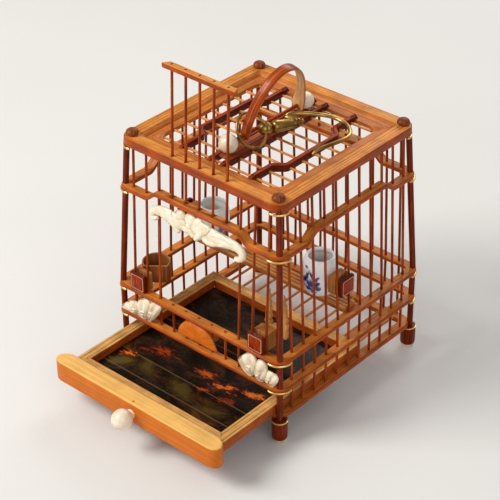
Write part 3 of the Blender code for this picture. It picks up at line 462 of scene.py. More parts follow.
bone = boneMaterial("old_bone", {
    "gloss": 0.32, "coat": (0.35, 0.1), "soft": (0.12, 0.001), "clouds": (0.35, 4, 0.6),
    "pores": ((1.2, 5.0, 5.0), 3, 0.55), "poreStart": 0.60, "poreDepth": 0.35, "pore": (150, 112, 66),
    "stops": ((0.28, (196, 166, 116)), (0.50, (224, 204, 162)), (0.75, (240, 228, 198))),
    "hollow": (118, 76, 36), "dullest": 0.42, "relief": (0.25, 0.06)})
ivory = boneMaterial("white_ivory", {
    "gloss": 0.28, "coat": (0.5, 0.08), "soft": (0.15, 0.0012), "clouds": (0.22, 3, 0.55),
    "pores": ((0.8, 4.0, 4.0), 3, 0.5), "poreStart": 0.58, "poreDepth": 0.22, "pore": (206, 178, 132),
    "stops": ((0.30, (226, 206, 170)), (0.52, (240, 226, 200)), (0.72, (248, 240, 222))),
    "hollow": (150, 104, 60), "dullest": 0.36, "relief": (0.08, 0.04)})
brass = brassMaterial("old_brass", (206, 170, 92), (112, 84, 36))
tieBrass = brassMaterial("bright_tie_brass", (250, 214, 132), (214, 164, 78))
print("materials made:", len(bpy.data.materials))

view = {
    "azimuth": 41.78, "elevation": 33.41, "roll": -0.58, "distance": 804.9,
    "target": (-7.2, -5.5, 60.0), "lens": 119.75,
}


def makeCamera():
    azimuth, elevation, roll = (math.radians(view[key]) for key in ("azimuth", "elevation", "roll"))
    back = Vector((math.sin(azimuth) * math.cos(elevation), -math.cos(azimuth) * math.cos(elevation),
                   math.sin(elevation)))
    right = Vector((math.cos(azimuth), math.sin(azimuth), 0))
    up = back.cross(right)
    across = math.cos(roll) * right + math.sin(roll) * up
    over = -math.sin(roll) * right + math.cos(roll) * up
    spot = (Vector(view["target"]) + Vector((0, middleY, 0)) + back * view["distance"]) / 1000
    camera = bpy.data.objects.new("camera", bpy.data.cameras.new("camera"))
    camera.data.lens = view["lens"]
    camera.data.sensor_width = 36
    camera.data.clip_start = 0.05
    camera.matrix_world = Matrix(((across.x, over.x, back.x, spot.x), (across.y, over.y, back.y, spot.y),
                                  (across.z, over.z, back.z, spot.z), (0, 0, 0, 1)))
    scene.collection.objects.link(camera)
    scene.camera = camera


def addLamp(name, where, aim, size, watts, colour):
    lamp = bpy.data.lights.new(name, "AREA")
    lamp.shape = "RECTANGLE"
    lamp.size, lamp.size_y = size
    lamp.energy = watts
    lamp.color = colour
    thing = bpy.data.objects.new(name, lamp)
    thing.location = where
    thing.rotation_euler = (Vector(aim) - Vector(where)).to_track_quat("-Z", "Y").to_euler()
    scene.collection.objects.link(thing)


def makeStudio():
    paper, tree = startMaterial("pale_paper", None, 0.85)
    mottled = noise(tree, 0.004, 2, 0.5)
    finishMaterial(paper, ramp(tree, mottled, (0.3, (0.74, 0.735, 0.72)), (0.7, (0.78, 0.775, 0.76))))
    bpy.ops.mesh.primitive_plane_add(size=8, location=(0, 0, 0))
    floor = bpy.context.object
    floor.name = "floor"
    floor.data.materials.append(paper)
    world = bpy.data.worlds.new("studio")
    scene.world = world
    world.use_nodes = True
    backdrop = world.node_tree.nodes["Background"]
    backdrop.inputs["Color"].default_value = (1.0, 0.98, 0.95, 1)
    backdrop.inputs["Strength"].default_value = 0.35
    addLamp("key", (-0.55, -0.75, 0.95), (0, 0, 0.07), (0.55, 0.55), 14, (1.0, 0.97, 0.92))
    addLamp("fill", (0.9, -0.5, 0.6), (0, 0, 0.07), (0.8, 0.8), 3.0, (0.95, 0.97, 1.0))
    addLamp("rim", (-0.2, 0.9, 0.7), (0, 0, 0.1), (0.8, 0.4), 4.0, (1.0, 0.98, 0.95))


makeCamera()
makeStudio()
scene.view_settings.view_transform = "Standard"


corners = {"front_left": (-1, -1), "front_right": (1, -1), "back_right": (1, 1), "back_left": (-1, 1)}
post = {
    "low": 12.5, "top": 125.0, "headAt": 44.34, "headLow": 127.5, "headRadius": 3.1, "headHeight": 2.9,
    "footOffset": 49.5, "ringRadius": 3.72, "ringWire": 0.33, "ringLevel": 11.9,
    "foot": ((0, 12.2), (2.6, 12.2), (3.2, 12.05), (3.45, 11.6), (3.75, 10.6), (3.8, 9.0), (3.78, 4.5),
             (3.7, 2.6), (3.45, 2.0), (3.0, 1.8), (0, 1.8)),
    "tip": ((0, 1.85), (2.9, 1.85), (3.2, 1.5), (3.3, 1.1), (3.15, 0.4), (2.8, 0.05), (2.4, 0), (0, 0)),
}


def makePosts():
    z = np.unique(np.append(np.linspace(post["low"], post["top"], 12), cage["leanStart"]))
    r, h, bend = post["headRadius"], post["headHeight"], quarter(9)
    dome = columns(r * np.cos(bend) ** 0.9, 0.55 + (h - 0.6) * np.sin(bend) ** 0.85)
    profile = np.vstack([[0, 0], [r - 0.5, 0], [r - 0.25, 0.12], [r - 0.3, 0.45], dome])
    tone = np.append(np.zeros(4), np.linspace(0.9, 0.1, 9))
    for index, (corner, (sx, sy)) in enumerate(corners.items()):
        line = wallAt(z, "postLean")
        makePiece("post_" + corner + "_shaft",
                  [wire(columns(sx * line, sy * line, z), cage["postRadius"], 16, (0, 1, 0),
                        uStart=31.0 * index)], postBamboo, replaced="post_" + corner)
        top = (sx * post["headAt"], sy * post["headAt"], post["headLow"])
        makePiece("post_" + corner + "_head",
                  [turned(profile, top, sides=28, tone=tone, uStart=17.0 * index)], headBamboo)
        x, y = sx * post["footOffset"], sy * post["footOffset"]
        foot = turned(smoothLine(post["foot"], 3), (x, y, 0), uStart=9.0 * index)
        makePiece("foot_" + corner + "_wood", [foot], postBamboo, replaced="foot_" + corner)
        makePiece("foot_" + corner + "_tip", [turned(post["tip"], (x, y, 0), sides=28)], bone)
        ring = columns(*(circle(post["ringRadius"], 32) + (x, y)).T, post["ringLevel"])
        makePiece("foot_" + corner + "_ring",
                  [sweep(ring, circle(post["ringWire"], 8), closed=True)], tieBrass)


rails = {
    "corner": 7.4, "lip": 3.3, "width": 5.2, "outerRound": 0.75, "innerRound": 0.35,
    "baseHalf": 51.6, "base": (12.6, 15.2), "strip": (29.4, 31.4), "lower": (45.0, 47.0),
    "shoulder": (99.4, 101.6), "rise": 4.4, "riseStart": 32.0, "riseEnd": 24.5, "floorInset": 3.0,
    "floorDrop": 0.65,
}


def shoulderLift(points):
    # smooth step up towards the middle of each side
    along = np.minimum(np.abs(points[..., 0]), np.abs(points[..., 1]))
    return rails["rise"] * eased((rails["riseStart"] - along) / (rails["riseStart"] - rails["riseEnd"]))


def makeRail(name, half, low, high, replaced=None, lift=None, along=()):
    # A square hoop: each point of the section (inset, height) runs round its own rounded square. The
    # section goes from the top edge down and inwards; its tone is 0 on the top face and 1 elsewhere.
    turn, width, a, b = quarter(5), rails["width"], rails["outerRound"], rails["innerRound"]
    inset = np.concatenate([a - a * np.sin(turn), a - a * np.cos(turn), width - b + b * np.sin(turn),
                            width - b + b * np.cos(turn)])
    height = np.concatenate([high - a + a * np.cos(turn), low + a - a * np.sin(turn),
                             low + b - b * np.cos(turn), high - b + b * np.sin(turn)])
    tone = np.where((height > high - 0.12) & (inset > 0.7), 0.0, 1.0)
    rings = roundedSquare(half - inset, np.maximum(rails["corner"] - inset, 0.6), 12, along)
    rise = lift(rings[:, :1]) if lift else 0
    hoop = skin(columns(rings[..., 0], rings[..., 1], height + rise), wrapRows=True,
                v=loopLengths(columns(inset, height), True), tone=tone)
    return makePiece(name, [hoop], goldenRail, replaced=replaced, angle=60)


doorPlaces = range(-2, 3)
doorRuns = [lineUp(k * cage["pitch"], 60.0, 170.5) for k in doorPlaces]


def makeRails():
    outer = cage["wallHalf"] + rails["lip"]
    makeRail("lower_rail_hoop", outer, *rails["lower"], "lower_rail")
    half = float(wallAt(rails["shoulder"][0] + rails["rise"])) + rails["lip"]
    share = np.linspace(rails["riseEnd"] - 1, rails["riseStart"] + 1, 12) / (half - rails["corner"])
    shoulder = makeRail("shoulder_rail_hoop", half, *rails["shoulder"], "shoulder_rail", shoulderLift,
                        np.append(-share[::-1], share))
    cutHoles(shoulder, doorRuns, cage["slideHole"])
    makeRail("bottom_strip", outer, *rails["strip"])
    makeRail("base_rail", rails["baseHalf"], *rails["base"], "base_grille")
    level = rails["base"][1] - rails["floorDrop"]
    reach = rails["baseHalf"] - rails["floorInset"]
    makePiece("floor_bars", [wire([[k * cage["pitch"], -reach, level], [k * cage["pitch"], reach, level]],
                                  cage["barRadius"], 8, uStart=13.0 * k) for k in range(-5, 6)], roofStick)


def makeBars():
    top = cage["barTop"]
    for side, name in enumerate(("right", "back", "left"), 1):
        bars = uprights(range(-5, 6), cage["barLow"], top, side, start=7 * side)
        makePiece(name + "_bars", bars, darkBar, replaced=name + "_grille")
    for name, places in (("left", range(-5, -2)), ("right", range(3, 6))):
        makePiece("front_bars_" + name, uprights(places, cage["frontLow"], top, apart=19.0), darkBar,
                  replaced="front_grille_" + name)
    short = uprights(doorPlaces, cage["frontLow"], cage["shortTop"], steps=3, apart=29.0)
    makePiece("front_bars_low", short, darkBar, replaced="front_grille_low")


print("posts and rails")
makePosts()
makeRails()
makeBars()


topFrame = {
    "half": 48.93, "corner": 6.0, "top": 127.2, "low": 122.3, "flat": 6.0, "slope": 1.9, "slopeDrop": 1.5,
    "width": 12.9, "ledgeDrop": 1.9, "ledgeThickness": 2.0, "openingCorner": 6.0, "groove": 0.14,
    "grooves": (4.6, 2.9, 1.3), "notch": 0.16, "cornerSteps": 12,
}


def frameSection():
    f = topFrame
    top, low, flat, width, turn = f["top"], f["low"], f["flat"], f["width"], quarter(5)
    ledge, inner = top - f["ledgeDrop"], flat + f["slope"]
    parts = [columns(0.5 - 0.5 * np.sin(turn), top - 0.5 + 0.5 * np.cos(turn)),
             columns(1.2 - 1.2 * np.cos(turn), low + 1.2 - 1.2 * np.sin(turn)),
             [(3.5, low), (width, ledge - f["ledgeThickness"])],
             [(width, ledge - 0.25), (width - 0.25, ledge), (inner + 0.75, ledge)],
             [(inner + 0.5, top - f["slopeDrop"])],
             [(flat + 0.62, top - 0.16), (flat + 0.4, top - 0.03), (flat + 0.2, top)]]
    parts += [[(at + 0.18, top), (at, top - f["groove"]), (at - 0.18, top)] for at in f["grooves"]]
    section = np.vstack(parts)
    tone = np.array([0.35, 0.6, 0.9, 1, 1] + [1] * 5 + [1, 0.6, 0.62, 0.55, 0.55, 0.5, 0.45, 0.5, 0.1]
                    + [0.05, 0.75, 0.05] * 3)
    radius = np.interp(section[:, 0], [0, flat, inner + 0.8, width],
                       [f["corner"], 0.8, 1.0, f["openingCorner"]])
    return section, tone, radius


def makeTopFrame():
    # each mitred member runs from the middle of one corner to the middle of the next, with a small V groove
    # where the mitres meet
    section, tone, radius = frameSection()
    steps, notch = topFrame["cornerSteps"], topFrame["notch"]
    rings = roundedSquare(topFrame["half"] - section[:, 0], radius, steps)
    half = steps // 2 + 1
    front = np.concatenate([rings[-half:], rings[:half]])
    points = columns(front[..., 0], front[..., 1], section[:, 1])
    ends = []
    for last, way in ((points[0], points[1] - points[0]), (points[-1], points[-2] - points[-1])):
        inner = last + unit(last.mean(axis=0) - last) * notch
        length = np.maximum(np.linalg.norm(way, axis=1, keepdims=True), 1e-6)
        ends.append([inner, last + way * np.minimum(notch / length, 0.5)])
    points = np.concatenate([ends[0], points[1:-1], ends[1][::-1]])
    for side, name in enumerate(("front", "right", "back", "left")):
        member = makePiece("top_frame_" + name + "_member",
                           [skin(turnZ(points, side), v=loopLengths(section, True), tone=tone,
                                 uStart=61.0 * side)], redFrame, replaced="top_frame_" + name, angle=30)
        if name == "front":
            cutHoles(member, doorRuns, cage["slideHole"])


roof = {
    "opening": 36.03, "gap": 0.3, "stickLevel": 124.3, "stickRadius": 0.6, "battenLow": 122.8,
    "battenHigh": 126.6, "thickness": 2.4, "endShare": 0.586, "bowShare": 0.144, "bend": (0.64, 0.47),
    "keeper": 3.89, "blockHalf": 2.39, "blockLength": 31.5, "blockLow": 125.2, "blockHigh": 126.8,
    "wedgeLevel": 126.2, "ledge": 125.35,
}


def board(line, fibres):
    # An upright board along a line (x, y) from above, with ends that run out to a low point on the frame's
    # ledge, and a peaked wedge on its back end.
    y, opening, low = line[:, 1], roof["opening"], roof["battenLow"]
    ends = np.clip((opening + 1.5 - np.abs(y)) / np.where(y > 0, 0.5, 2.2), 0, 1) ** 0.7
    top = low + 1.9 + (roof["battenHigh"] + 0.15 - low - 1.9) * ends
    bottom = np.minimum(np.where(np.abs(y) > opening - 0.4, roof["ledge"], low), top - 0.5)
    size = columns(roof["thickness"] / 2 * (0.5 + 0.5 * ends), (top - bottom) / 2)
    profile = rounded(5.0, 28)
    plank = sweep(columns(*line.T, (top + bottom) / 2), profile, size=size,
                  tone=np.where(profile[:, 1] < 0.8, 1.0, 0.0), uStart=fibres)
    peak = np.array([(-1, -1), (0, -1), (1, -1), (0.92, -0.7), (0.2, 0.85), (0, 1), (-0.2, 0.85),
                     (-0.92, -0.7)])
    back = columns(line[-1, 0], opening + np.array([-2.2, -1.9, 0.8, 1.7, 2.0]), roof["wedgeLevel"])
    return [plank, sweep(back, peak, size=np.outer([0.1, 0.9, 1, 0.9, 0.3], [1.95, 0.95]), tone=1.0)]


def makeRoof():
    opening, corner, level = roof["opening"], topFrame["openingCorner"], roof["stickLevel"]
    straight = opening - corner
    sticks = []
    for k in range(-4, 5):
        y = k * cage["pitch"]
        off = max(0, abs(y) + roof["stickRadius"] - straight)
        end = straight + math.sqrt(corner ** 2 - off ** 2) - roof["gap"]
        sticks.append(wire([[-end, y, level], [end, y, level]], roof["stickRadius"], uStart=37.0 * k))
    makePiece("roof_sticks", sticks, roofStick, replaced="roof_grille")
    y = np.linspace(26, opening + 1.4, 18)
    y = np.concatenate([-y[::-1], np.linspace(-25, 25, 90), y[:-4],
                        opening + np.array([0.9, 1.1, 1.25, 1.36, 1.44, 1.49])])
    # how far a bowed batten stands out: a smooth step between its ends and its middle
    start, finish = (opening * share for share in roof["bend"])
    bow = opening * (roof["endShare"] + roof["bowShare"] * eased((start - np.abs(y)) / (start - finish)))
    for index, (side, sign) in enumerate((("left", -1), ("right", 1))):
        makePiece("roof_batten_" + side, board(columns(sign * bow, y), 41.0 * index), darkBatten, angle=50)
        makePiece("roof_keeper_" + side, board(columns(sign * roof["keeper"], y), 77.0 * index), darkBatten,
                  angle=50)
    low, high, reach = roof["blockLow"], roof["blockHigh"], roof["blockLength"]
    taper = np.array([0.9, 0.4, 0.1, 0])
    y = np.concatenate([taper[::-1] - reach, np.linspace(-30, 30, 30), reach - taper])
    ease = np.sqrt(1 - (1 - np.clip((reach - np.abs(y)) / 0.9, 0, 1)) ** 2)
    size = columns(roof["blockHalf"] - 0.7 * (1 - ease), (high - low) / 2 - 0.5 * (1 - ease))
    makePiece("roof_spine_block", [sweep(columns(0, y, (low + high) / 2), rounded(5, 40), size=size)],
              palePlank, replaced="roof_spine", angle=50)


handle = {
    "axle": 131.15, "front": -17.0, "back": 22.0, "height": 30.5, "width": 4.5, "thickness": 1.5,
    "footRadius": 2.35, "lean": 15.0, "axleRadius": 0.9, "axleEnds": (-30.2, 29.9),
    "profile": ((-0.42, -1), (-0.2, -1), (0.25, -1), (0.55, -0.96), (0.8, -0.82), (0.95, -0.5),
                (1.0, -0.2), (0.985, -0.06), (0.95, 0), (0.985, 0.06), (1.0, 0.2), (0.95, 0.5),
                (0.8, 0.82), (0.55, 0.96), (0.25, 1), (-0.2, 1), (-0.42, 1), (-0.85, 0.94), (-1, 0.8),
                (-1, 0), (-1, -0.8), (-0.85, -0.94)),
}


def makeHandle():
    h = handle
    axle, foot, t = h["axle"], h["footRadius"], h["thickness"] / 2
    middle, half = (h["front"] + h["back"]) / 2, (h["back"] - h["front"]) / 2
    angle = np.linspace(0, np.pi, 90)
    down = foot * np.sin(quarter(9)[::-1])[:-1]
    path = np.vstack([columns(0, h["front"] + t, -down),
                      columns(0, middle - (half - t) * np.cos(angle), (h["height"] - t) * np.sin(angle)),
                      columns(0, h["back"] - t, -down[::-1])])
    z = path[:, 2]
    width = np.where(z < 0, np.sqrt(np.maximum(foot ** 2 - z ** 2, 0.01)), h["width"] / 2)
    width += 0.22 + 0.95 * np.exp(-((z - 1) / 7) ** 2) * (path[:, 1] > middle)
    profile = np.array(h["profile"])
    tone = np.clip((profile[:, 0] + 0.5) / 0.9, 0, 1)
    tone[7:10] = (0.75, 0.35, 0.75)
    flat, *rest = sweep(path, profile * (-1, 1), up=(1, 0, 0), size=columns(t, width), tone=tone)
    # the whole strip leans over about the axle
    c, s = math.cos(math.radians(h["lean"])), math.sin(math.radians(h["lean"]))
    x, y, z = flat.T
    makePiece("handle_strip", [(columns(x * c + z * s, y, axle - x * s + z * c), *rest)], handleStrip,
              body="handle", replaced="handle", angle=45)


beads = {"front": (-27.5, 4.6, 1), "back": (26.6, 4.25, -1), "level": 131.45, "seat": 126.85}


def makeBeads():
    low, high = handle["axleEnds"]
    axle = wire([[0, low, handle["axle"]], [0, 0, handle["axle"]], [0, high, handle["axle"]]],
                handle["axleRadius"], 14, blunt=0.5)
    makePiece("axle_rod", [axle], darkBatten, replaced="handle_axle")
    angle = np.linspace(np.pi, 0.24, 30)
    # painted shade: the tone darkens the bead's inner end round its neck
    tone = np.append(np.zeros(28), [0.1, 0.3, 0.6, 0.8, 0.8])
    for name in ("front", "back"):
        y, radius, inward = beads[name]
        profile = columns(radius * np.sin(angle), radius * 0.97 * np.cos(angle))
        end = profile[-1, 1]
        profile = np.vstack([profile, [0.98, end - 0.12], [0.95, end - 0.7], [0, end - 0.7]])
        flat, *rest = turned(profile, (0, y, beads["level"]), (0, inward, 0), 40, tone)
        flat = np.maximum(flat, (-np.inf, -np.inf, beads["seat"]))
        makePiece("bead_" + name + "_ivory", [(flat, *rest)], ivory, replaced="bead_" + name, merge=0.0001)


hookSet = {
    "ringCentre": (2.9, -15.0, 134.1), "ringRadius": 8.3, "ringWire": 0.68, "ringTilt": 55.0,
    "ballTurn": -17.0, "ballRadius": 3.1, "ballLength": 6.9, "barrelEnd": (10.1, 7.9, 130.8),
    "hookWire": 0.98,
    "route": ((11.9, 10.0, 131.0), (9.8, 11.2, 131.2), (6.8, 9.8, 131.2), (3.8, 8.6, 131.2),
              (2.6, 10.3, 131.2), (3.4, 13.2, 131.0), (5.8, 16.8, 130.6), (9.5, 20.6, 130.0),
              (14.6, 24.6, 129.2),
              (18.8, 26.1, 128.6), (22.8, 26.2, 128.3), (26.8, 24.8, 128.3), (30.8, 21.8, 128.3),
              (33.3, 18.0, 128.3), (33.7, 13.6, 128.3), (32.8, 8.8, 128.3), (31.6, 4.0, 128.3),
              (30.4, -0.6, 128.3), (29.9, -2.8, 127.4), (29.7, -3.6, 126.6)),
    # radius and height of the barrel from its low end, then from its length back
    "barrelLow": ((0, 0), (1.5, 0), (2.2, 0.1), (2.6, 0.4), (2.9, 1.0), (3.0, 1.9), (2.97, 3.4),
                  (2.82, 5.2), (2.62, 7.2), (2.45, 9.0)),
    "barrelHigh": ((2.35, -2.6), (2.3, -1.9), (2.42, -1.4), (2.58, -1.0), (2.6, -0.6), (2.5, -0.25),
                   (2.2, -0.06), (1.6, 0), (1.3, 0), (1.25, -0.4), (1.2, -3.2), (0, -3.3)),
}


def makeHookSet():
    s = hookSet
    tilt = math.radians(s["ringTilt"])
    across = np.array([[0, 1.0, 0], [-math.cos(tilt), 0, math.sin(tilt)]])
    line = s["ringCentre"] + circle(s["ringRadius"], 72) @ across
    ring = sweep(line, circle(s["ringWire"], 14), (math.sin(tilt), 0, math.cos(tilt)), closed=True)
    makePiece("ring_wire", [ring], brass, body="ring_swivel", replaced="ring")
    turn, end = math.radians(s["ballTurn"]), np.array(s["barrelEnd"])
    centre = s["ringCentre"] + s["ringRadius"] * np.array([math.cos(turn), math.sin(turn)]) @ across
    axis = unit(end - centre)
    reach = s["ballLength"] / 2
    at = np.sin(np.linspace(-np.pi / 2, np.pi / 2, 41))
    lobes = np.sqrt(np.maximum(1 - np.abs(at) ** 2.3, 0)) * (1 - 0.16 * np.exp(-(at / 0.13) ** 2))
    knob = turned(columns(s["ballRadius"] * lobes, reach * at), centre, axis, 36)
    makePiece("swivel_knob", [knob], brass, body="ring_swivel", replaced="swivel_ball")
    low = reach + 0.2
    barrel = np.vstack([s["barrelLow"] + np.array([0, low]),
                        s["barrelHigh"] + np.array([0, float(np.linalg.norm(end - centre))])])
    makePiece("swivel_barrel", [turned(barrel, centre, axis, 40)], brass, body="ring_swivel",
              replaced="barrel")
    line = smoothLine(np.vstack([end - axis * 2.9, end + axis * 0.9, s["route"]]), 8)
    lengths = loopLengths(line)
    taper = np.interp(lengths, [0, lengths[-1] - 6, lengths[-1]], [1, 1, 0.8])
    makePiece("hook_wire", [wire(line, s["hookWire"], 16, blunt=0.8 * s["hookWire"], size=taper, steps=7)],
              brass, body="hook", replaced="hook")


print("top frame, roof, handle and hook")
makeTopFrame()
makeRoof()
makeHandle()
makeBeads()
makeHookSet()


def pillow(outline, centre, high, power, back=0.0, flutes=0, depth=0.0, focus=(0, 0), out=0.0):
    # A domed shape over an outline (x, z) round its centre: rings shrink towards the centre while the
    # height follows 1 - share^power. Flutes cut rounded valleys that fan out from the focus, and the tone
    # paints shade into the valleys and near the focus.
    centre = np.asarray(centre, float)
    share = np.array([1.0, 1.0, 0.985, 0.95, 0.89, 0.80, 0.68, 0.54, 0.38, 0.2, 0.02])
    ring = centre + (outline - centre)[None] * share[:, None, None]
    lift = back + (high - back) * np.maximum(1 - share ** power, 0) ** 0.6
    lift = np.repeat(lift[:, None], len(outline), 1)
    shade = np.zeros(lift.shape)
    if flutes:
        way = ring - np.asarray(focus, float)
        valley = (0.5 + 0.5 * np.cos(np.arctan2(way[..., 1], way[..., 0]) * flutes)) ** 2
        lift -= depth * valley * np.clip(lift / high, 0, 1)
        # painted shade: darker in the flute valleys and near the focus
        shade = 0.22 * valley + 0.45 * np.clip(1 - np.linalg.norm(way, axis=-1) / 4.5, 0, 1)
    lift[0] = back
    lift[1] = back + 0.35 * (high - back)
    rows = np.concatenate([[ring[0] * 0.02 + centre * 0.98], ring])
    lift = np.concatenate([np.full((1, len(outline)), back), lift])
    x, z = rows[..., 0], rows[..., 1]
    return skin(columns(x, -(wallAt(z) + out + lift), z), v=loopLengths(outline, True),
                u=np.arange(len(rows)) * 1.0, tone=np.concatenate([shade[:1], shade]))


def strand(rows, thick, out, steps=8):
    # A carved strand on the front wall: a smooth line of x, z and half width, with a set half thickness.
    x, z, width = smoothLine(rows, steps).T
    line, share = capped(columns(x, -(wallAt(z) + out), z), width[0], width[-1], 6)
    full = np.pad(width, 5, "edge") * share
    size = np.maximum(columns(full, np.minimum(thick, 0.9 * full + 0.3) * share), 1e-3)
    return sweep(line, circle(1.0, 16), (0, -1, 0), size)


def block(low, high, r=0.35):
    # An oblong with softly rounded edges: rings of a rounded oblong along z, pulled in at both ends.
    low, high = np.asarray(low, float), np.asarray(high, float)
    x, y, _ = (low + high) / 2
    angle = (quarter(5) + np.arange(4)[:, None] * np.pi / 2).ravel()
    right, back = np.repeat([1, -1, -1, 1], 5), np.repeat([1, 1, -1, -1], 5)
    rows = []
    for z, inset in rims(low[2], high[2], r, 5):
        c = max(r - inset, 0.02)
        a, b, _ = (high - low) / 2 - inset - c
        rows.append(columns(x + right * a + c * np.cos(angle), y + back * b + c * np.sin(angle), z))
    return skin(rows)


door = {
    "capFront": 46.53, "capDepth": 3.5, "capLow": 170.0, "capHigh": 172.6, "capLeft": -21.5,
    "capRight": 21.3, "capRound": 0.45, "barLow": 92.8, "carvingOut": 0.65,
    # rows of x, z and half width, with the half thickness and how far out each strand lies
    "strands": (
        (((-24.9, 92.6, 1.1), (-26.4, 92.2, 1.4), (-27.6, 93.7, 1.65), (-26.7, 95.7, 2.0),
          (-24.0, 96.9, 2.5), (-20.4, 97.2, 3.3), (-16.8, 96.6, 3.9), (-13.4, 95.8, 4.1),
          (-9.6, 95.6, 3.6)), 1.6, 2.05),
        (((24.4, 91.3, 1.0), (26.0, 91.5, 1.4), (27.8, 93.1, 1.7), (27.7, 95.6, 2.1), (25.0, 97.2, 2.6),
          (20.5, 97.4, 3.1), (16.3, 97.0, 3.7), (10.7, 96.6, 4.4), (5.6, 96.8, 4.8), (1.6, 97.2, 4.8)),
         1.6, 2.05),
        (((23.0, 98.9, 0.7), (18.6, 99.3, 1.3), (14.2, 99.2, 1.7), (10.2, 98.4, 1.3)), 1.0, 2.8),
        (((17.2, 95.4, 0.8), (12.8, 94.4, 1.5), (8.8, 93.2, 1.7), (5.8, 93.4, 1.1)), 1.0, 2.7),
        (((8.6, 100.4, 1.0), (6.8, 98.2, 1.8), (3.8, 96.4, 2.0), (2.0, 94.0, 1.8), (0.6, 92.2, 1.2)),
         1.3, 2.8),
        (((-8.2, 95.0, 1.3), (-5.8, 94.2, 1.5), (-3.8, 94.4, 1.6), (-1.6, 93.0, 1.5)), 1.2, 2.55),
        (((-15.0, 99.6, 0.9), (-14.2, 96.6, 1.8), (-12.8, 93.6, 1.8), (-10.6, 91.7, 1.2)), 1.1, 2.65)),
    # middle, half length, half height and turn
    "lumps": ((-10.0, 99.4, 3.3, 3.0, 0.3), (-3.4, 99.4, 4.4, 3.3, -0.2), (-9.6, 94.6, 2.6, 2.8, 0.0),
              (-4.4, 96.4, 2.4, 2.2, 0.0), (1.4, 100.2, 3.0, 2.6, 0.2)),
}


def makeDoor():
    d = door
    low, high, r = d["capLow"], d["capHigh"], d["capRound"]
    makePiece("door_bars", uprights(doorPlaces, d["barLow"], high - 0.3, sides=12, apart=17.0), darkBar,
              body="door", replaced="door_grille")
    # section of the cap (y, z) from the front top edge round; each point runs from the slanted left end
    front, turn = -d["capFront"], quarter(6)
    back = front + d["capDepth"]
    s, c = r * np.sin(turn), r * np.cos(turn)
    y = np.concatenate([front + r - c, back - r + s, back - r + c, front + r - s])
    z = np.concatenate([high - r + s, high - r + c, low + r - s, low + r - c])
    slant = (y - front) / (back - front)
    left, right = d["capLeft"] + 2.7 * slant, d["capRight"] - 0.8 * slant
    rows = [columns(left + (right - left) * share, y.mean() + (y - y.mean()) * pull,
                    z.mean() + (z - z.mean()) * pull)
            for share, pull in ((0, 0.75), (0.004, 0.9), (0.012, 1.0), (0.25, 1), (0.5, 1), (0.75, 1),
                                (0.988, 1.0), (0.996, 0.9), (1, 0.75))]
    makePiece("door_cap", [skin(rows, tone=np.where(z > high - 0.2, 0.0, 1.0))], redFrame, body="door")
    dot = [(0, high - 0.4), (0.6, high - 0.4), (0.66, high - 0.05), (0.62, high + 0.02), (0, high + 0.02)]
    makePiece("door_bar_ends", [turned(dot, (k * cage["pitch"], -float(wallAt(high)), 0), sides=14)
                                for k in doorPlaces], endGrain, body="door")


def makeDoorCarving():
    skins = [strand(*row) for row in door["strands"]]
    for x, z, a, b, turn in door["lumps"]:
        c, s = math.cos(turn), math.sin(turn)
        outline = (circle(1.0, 48) * (a, b)) @ np.array([[c, s], [-s, c]]) + (x, z)
        skins.append(pillow(outline, (x, z), 2.95, 2.0, back=0.7, flutes=4, depth=0.3, focus=(x - a, z - b),
                            out=door["carvingOut"]))
    makePiece("door_carving_scroll", skins, ivory, body="door", replaced="door_carving", angle=70,
              merge=0.0001)


drawer = {
    "panelBack": -88.0, "panelFront": -97.0, "panelLow": 13.0, "panelHigh": 24.5, "panelHalf": 47.5,
    "swell": 5.0, "panelRound": 0.8, "pinHole": 0.6, "pinPlace": -95.0, "knobPlace": -102.9,
    "knobLevel": 18.6,
    "knobRadius": 5.1, "neck": 1.8, "trayHalf": 48.2, "trayFront": -87.7, "trayBack": 12.0, "trayLow": 15.5,
    "trayHigh": 20.8, "wall": 6.2, "sheetHigh": 16.8, "seams": (-73.6, -61.0, -30.0),
    # how far out and how far forward the panel's swelling ends go
    "ends": ((0.0, 0.0), (0.45, 0.12), (0.80, 0.28), (0.96, 0.44), (1.0, 0.60), (0.90, 0.78), (0.60, 0.92),
             (0.10, 1.0)),
}


def drawerPanel():
    # The panel's section is a rounded oblong; its ends swell outwards towards the front and curve over.
    d = drawer
    back, front, low, high = d["panelBack"], d["panelFront"], d["panelLow"], d["panelHigh"]
    out, forward = np.array(d["ends"]).T
    side = columns(d["panelHalf"] + d["swell"] * out, back - (back - front) * forward)
    outline = np.concatenate([side, columns(np.linspace(side[-1, 0], -side[-1, 0], 26)[1:-1], front),
                              (side * (-1, 1))[::-1],
                              columns(np.linspace(-side[0, 0], side[0, 0], 26)[1:-1], back)])
    middle = np.array([0, (back + front) / 2])
    limit = np.array([d["panelHalf"] + d["swell"], (back - front) / 2])
    rows = [(z, (limit - inset) / limit) for z, inset in rims(low, high, d["panelRound"], 6)]
    rows = [(low, np.array([0.97, 0.74]))] + rows + [(high, np.array([0.97, 0.74]))]
    points = np.array([columns(*(middle + (outline - middle) * scale).T, z) for z, scale in rows])
    flat, faces, _, tone = skin(points, tone=np.reshape([1] * 7 + [0.95, 0.7, 0.3, 0.05, 0, 0, 0], (-1, 1)))
    corner = flat[np.concatenate(faces)]
    return flat, faces, columns(corner[:, 0], corner[:, 1] + 0.8 * corner[:, 2]), tone


